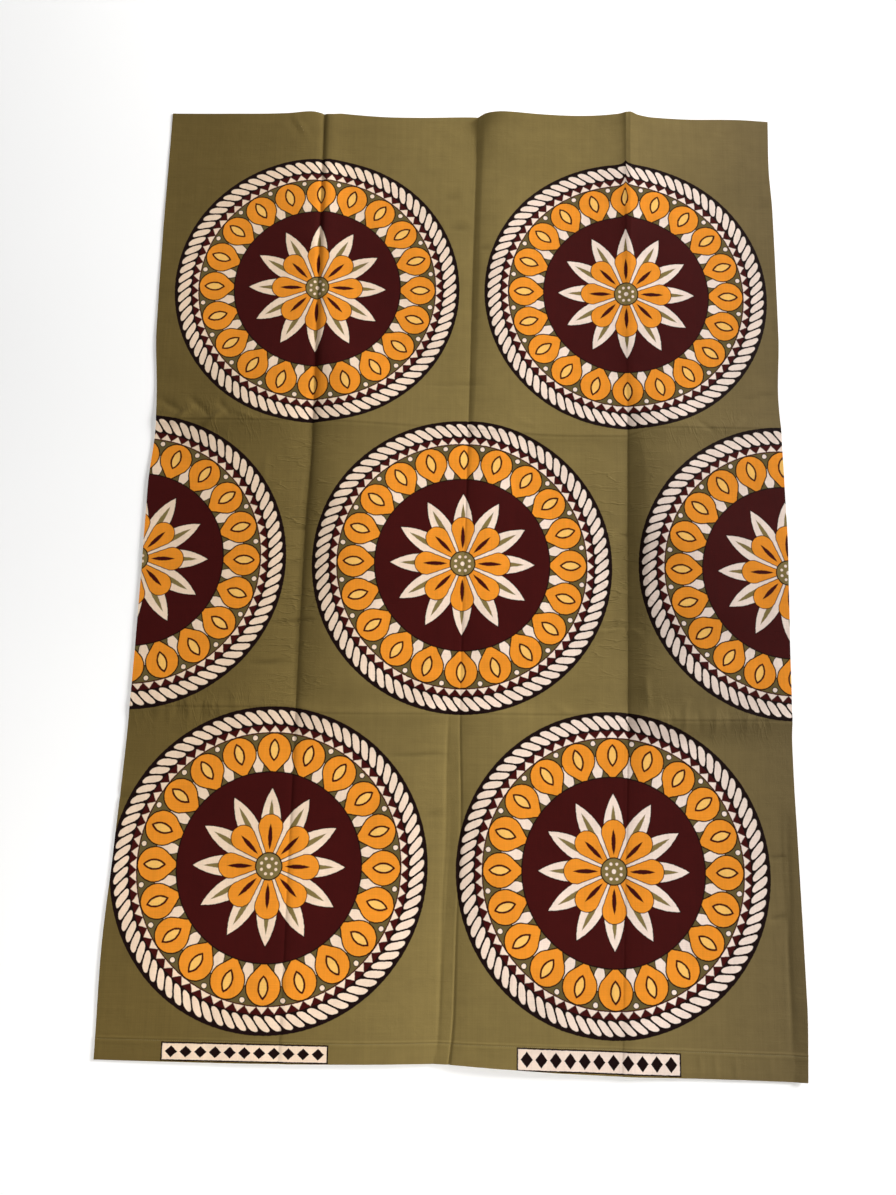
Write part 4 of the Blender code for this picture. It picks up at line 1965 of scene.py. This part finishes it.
    def store_places(self, mesh: bpy.types.Mesh, flat: Grid, along_it: Grid, wear_and_shade: Grid) -> None:
        """Stores where each point lies on the flat cloth and on the map, its side, and its fold
        wear with the painted crease shade.

        Args:
            mesh: The shell.
            flat: Places across the flat cloth.
            along_it: Places along the flat cloth.
            wear_and_shade: The fold wear at each point, which also sets the painted crease shade.
        """
        on_back = np.zeros(len(mesh.vertices))
        on_back[flat.size :] = 1.0
        places = np.stack((both_sides(flat), both_sides(along_it), on_back), axis=-1)
        corners = np.empty(len(mesh.loops), np.int32)
        mesh.loops.foreach_get("vertex_index", corners)
        stored = mesh.attributes.new(FLAT_PLACE, "FLOAT_VECTOR", "POINT")
        stored.data.foreach_set("vector", places.astype(np.float32).ravel())
        wear_and_crease_shade = both_sides(wear_and_shade).astype(np.float32)
        mesh.attributes.new(FOLD_WEAR_AND_SHADE, "FLOAT", "POINT").data.foreach_set("value", wear_and_crease_shade)
        mapped = self.bake_map.places(corners, flat, along_it)
        layer = mesh.uv_layers.new(name=BAKE_MAP)
        layer.uv.foreach_set("vector", mapped.astype(np.float32).ravel())

    def sharpen_rim(self, mesh: bpy.types.Mesh, shape: tuple[int, int]) -> None:
        """Marks the edges round the upper side and the underside as sharp.

        Args:
            mesh: The shell.
            shape: How many rows and columns the upper side has.
        """
        upper, lower = self.numbers(shape)
        on_edge = np.zeros(len(mesh.vertices), bool)
        on_edge[self.edge_points(upper)] = True
        on_edge[self.edge_points(lower)] = True
        pairs = np.empty(len(mesh.edges) * 2, np.int32)
        mesh.edges.foreach_get("vertices", pairs)
        pairs = pairs.reshape(-1, 2)
        same_side = (pairs[:, 0] < upper.size) == (pairs[:, 1] < upper.size)
        sharp = on_edge[pairs].all(axis=1) & same_side
        mesh.attributes.new("sharp_edge", "BOOLEAN", "EDGE").data.foreach_set("value", sharp)


@dataclass(frozen=True)
class StitchInputs:
    """Named inputs of the Geometry Nodes tree that sews the hem."""

    spacing: float = 0.0032
    length: float = 0.0026
    thickness: float = 0.00042
    rise: float = 0.00045
    scatter: float = 0.12
    seed: int = 7


@dataclass
class HemStitching:
    """The row of stitches that holds the turned hem, made with Geometry Nodes."""

    form: LaidForm
    panel: WrapperPanel
    finish: StitchThread
    sizes: StitchInputs = StitchInputs()
    path_points: int = 900
    end_margin: float = 0.004
    sinking: float = -0.7
    sides: int = 6

    def path(self) -> bpy.types.Mesh:
        """Follows the groove of the hem over the upper side of the cloth.

        Returns:
            A mesh of edges that the stitches lie on.
        """
        hem = self.form.hem
        across = np.linspace(0.0, 1.0, self.path_points)
        x, _ = self.form.place(across, np.full_like(across, hem.share))
        x = np.clip(x, x.min() + self.end_margin, x.max() - self.end_margin)
        y = line_offset(HEM_INNER_LINE, x) - hem.stitch_inset
        height, _ = self.panel.heights(x, y)
        points = np.stack((x, y, height), axis=-1)
        mesh = bpy.data.meshes.new("hem_stitch_line")
        edges = [(index, index + 1) for index in range(self.path_points - 1)]
        mesh.from_pydata(points.tolist(), edges, [])
        return mesh

    def tree(self, thread: bpy.types.Material, sizes: dict[str, float]) -> bpy.types.NodeTree:
        """Builds the tree that lays one stitch at each step of a line.

        Args:
            thread: The stitches' material.
            sizes: The names and values of the tree's inputs.

        Returns:
            The Geometry Nodes tree.
        """
        tree = bpy.data.node_groups.new("sewn_line", "GeometryNodeTree")
        new_socket(tree, "Geometry", "INPUT", "Geometry")
        for name, value in sizes.items():
            new_socket(tree, name, "INPUT", "Int" if isinstance(value, int) else "Float")
        new_socket(tree, "Geometry", "OUTPUT", "Geometry")
        entry = add_node(tree, "NodeGroupInput")
        given = {name: Wire(entry.outputs[name]) for name in ("Geometry", *sizes)}
        line = fed_node("GeometryNodeMeshToCurve", {"Mesh": given["Geometry"]})
        steps = fed_node(
            "GeometryNodeResampleCurve", {"Curve": line, "Length": given["Spacing"]}, mode="LENGTH"
        )
        tangent = Wire(add_node(tree, "GeometryNodeInputTangent").outputs[0])
        turned = fed_node("FunctionNodeAlignRotationToVector", {"Vector": tangent}, axis="X")
        scatter = given["Scatter"]
        limits = {2: -scatter + 1.0, 3: scatter + 1.0, "Seed": given["Seed"]}
        varied = fed_node("FunctionNodeRandomValue", limits, 1, data_type="FLOAT")
        stitch = self.stitch(given)
        placing = {"Points": steps, "Instance": stitch, "Rotation": turned, "Scale": varied}
        placed = fed_node("GeometryNodeInstanceOnPoints", placing)
        real = fed_node("GeometryNodeRealizeInstances", {0: placed})
        dressed = fed_node("GeometryNodeSetMaterial", {0: real, "Material": thread})
        feed(add_node(tree, "NodeGroupOutput").inputs[0], dressed)
        return tree

    def stitch(self, given: dict[str, Wire]) -> Wire:
        """Adds the nodes of a single stitch, a short bowed length of thread.

        Args:
            given: The tree's inputs.

        Returns:
            The stitch's mesh.
        """
        half, sunk = given["Length"] * 0.5, given["Thickness"] * self.sinking
        ends = {
            "Resolution": self.sides,
            1: combined(-half, 0.0, sunk),
            2: combined(0.0, 0.0, given["Rise"]),
            3: combined(half, 0.0, sunk),
        }
        bow = fed_node("GeometryNodeCurveQuadraticBezier", ends)
        round_thread = {"Resolution": self.sides, "Radius": given["Thickness"] * 0.5}
        ring = fed_node("GeometryNodeCurvePrimitiveCircle", round_thread)
        parts = {"Curve": bow, "Profile Curve": ring, "Fill Caps": True}
        tube = fed_node("GeometryNodeCurveToMesh", parts)
        return fed_node("GeometryNodeSetShadeSmooth", {0: tube})

    def build(self) -> bpy.types.Object:
        """Sews the hem.

        Returns:
            The stitches as one plain mesh.
        """
        sizes = {name.title(): value for name, value in vars(self.sizes).items()}
        guide = linked_object("hem_stitch_line", self.path())
        modifier = guide.modifiers.new("sewn_line", "NODES")
        modifier.node_group = self.tree(self.finish.material(), sizes)
        for item in modifier.node_group.interface.items_tree:
            if item.in_out == "INPUT" and item.name in sizes:
                modifier[item.identifier] = sizes[item.name]
        bpy.context.view_layer.update()
        graph = bpy.context.evaluated_depsgraph_get()
        mesh = bpy.data.meshes.new_from_object(guide.evaluated_get(graph))
        mesh.name = "hem_stitches"
        guide.modifiers.remove(modifier)
        bpy.data.objects.remove(guide, do_unlink=True)
        return linked_object("hem_stitches", mesh)


@dataclass(frozen=True)
class SoftLight:
    """A large soft lamp of the studio."""

    name: str
    place: tuple[float, float, float]
    aim: tuple[float, float, float]
    width: float
    length: float
    power: float
    colour: tuple[float, float, float] = (1.0, 1.0, 1.0)
    spread: float = np.pi

    def build(self) -> bpy.types.Object:
        """Hangs the lamp.

        Returns:
            The lamp's object.
        """
        lamp = bpy.data.lights.new(self.name, "AREA")
        lamp.shape = "ELLIPSE"
        lamp.size = self.width
        lamp.size_y = self.length
        lamp.spread = self.spread
        lamp.energy = self.power
        lamp.color = self.colour
        hung = linked_object(self.name, lamp)
        hung.location = self.place
        towards = Vector(self.aim) - Vector(self.place)
        hung.rotation_euler = towards.to_track_quat("-Z", "Y").to_euler()
        return hung


WARM_WHITE = (1.0, 0.97, 0.92)


@dataclass(frozen=True)
class Studio:
    """The pale floor, the soft light and the camera."""

    floor_size: float = 14.0
    floor_drop: float = 0.0003
    floor_tones: tuple[tuple[float, ...], ...] = ((0.89, 0.89, 0.89, 1.0), (0.93, 0.93, 0.93, 1.0))
    lights: tuple[SoftLight, ...] = (
        SoftLight("key_from_upper_right", (13.0, 6.8, 4.8), (0.0, 0.0, 0.0), 4.8, 4.8, 3950.0),
        SoftLight(
            "upper_strip", (0.09, 1.2, 1.75), (0.09, 1.2, 0.0), 0.45, 1.79, 4.3, WARM_WHITE, 1.5
        ),
        SoftLight(
            "lower_lamp",
            (-0.112, -0.871, 1.75),
            (-0.112, -0.871, 0.0),
            0.6,
            0.6,
            3.8,
            WARM_WHITE,
            1.5,
        ),
    )
    world_strength: float = 0.12
    camera_place: tuple[float, float, float] = (-0.0368, -0.3113, 1.4322)
    camera_right: tuple[float, float, float] = (0.99978, 0.01656, 0.01273)
    camera_up: tuple[float, float, float] = (-0.01839, 0.98689, 0.16033)
    lens: float = 26.0
    sensor: float = 36.0
    view_end: float = 60.0

    def floor(self) -> bpy.types.Object:
        """Builds the floor.

        Returns:
            The floor, which is no part of the object.
        """
        half = self.floor_size / 2.0
        corners = [(-half, -half), (half, -half), (half, half), (-half, half)]
        mesh = bpy.data.meshes.new("studio_floor")
        mesh.from_pydata([(x, y, -self.floor_drop) for x, y in corners], [], [(0, 1, 2, 3)])
        plain = {
            "Specular IOR Level": 0.1,
            "Roughness": 0.9,
            "Emission Color": (1.0, 1.0, 1.0, 1.0),
            "Emission Strength": 0.24,
        }
        material, shader = blank_material("pale_floor", plain)
        place = Wire(add_node(material.node_tree, "ShaderNodeTexCoord").outputs["Object"])
        feed(shader.inputs["Base Color"], paint(noise(place, 3.0, 1.0), *self.floor_tones))
        mesh.materials.append(material)
        floor = linked_object("studio_floor", mesh)
        return floor

    def camera(self) -> bpy.types.Object:
        """Places the camera at the photograph's angle.

        Returns:
            The camera, which is also the scene's.
        """
        lens = bpy.data.cameras.new("photo_camera")
        lens.sensor_fit = "VERTICAL"
        lens.sensor_height = self.sensor
        lens.lens = self.lens
        lens.clip_end = self.view_end
        right, up = Vector(self.camera_right), Vector(self.camera_up)
        turned = Matrix((right, up, right.cross(up))).transposed().to_4x4()
        camera = linked_object("photo_camera", lens)
        camera.matrix_world = Matrix.Translation(self.camera_place) @ turned
        bpy.context.scene.camera = camera
        return camera

    def build(self) -> None:
        """Sets the floor, the lights, the world and the camera."""
        self.floor()
        for light in self.lights:
            light.build()
        world = bpy.data.worlds.new("studio_air")
        world.use_nodes = True
        background = world.node_tree.nodes["Background"]
        background.inputs["Color"].default_value = (1.0, 1.0, 1.0, 1.0)
        background.inputs["Strength"].default_value = self.world_strength
        bpy.context.scene.world = world
        bpy.context.scene.view_settings.view_transform = "Standard"
        self.camera()


def report(piece: bpy.types.Object) -> None:
    """Reports how many faces a piece has."""
    LOG.info("%s: %d faces", piece.name, len(piece.data.polygons))


def main() -> None:
    """Builds the dressed cloth and its studio, in order."""
    logging.basicConfig(level=logging.INFO, format="%(name)s %(message)s")
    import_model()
    form = LaidForm()
    panel = WrapperPanel(form, PrintedCotton())
    wrapper = panel.build()
    report(wrapper)
    stitches = HemStitching(form, panel, StitchThread()).build()
    report(stitches)
    for piece in (wrapper, stitches):
        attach(piece, "root")
    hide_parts(CAD_NODE)
    Studio().build()


if __name__ == "__main__":
    main()
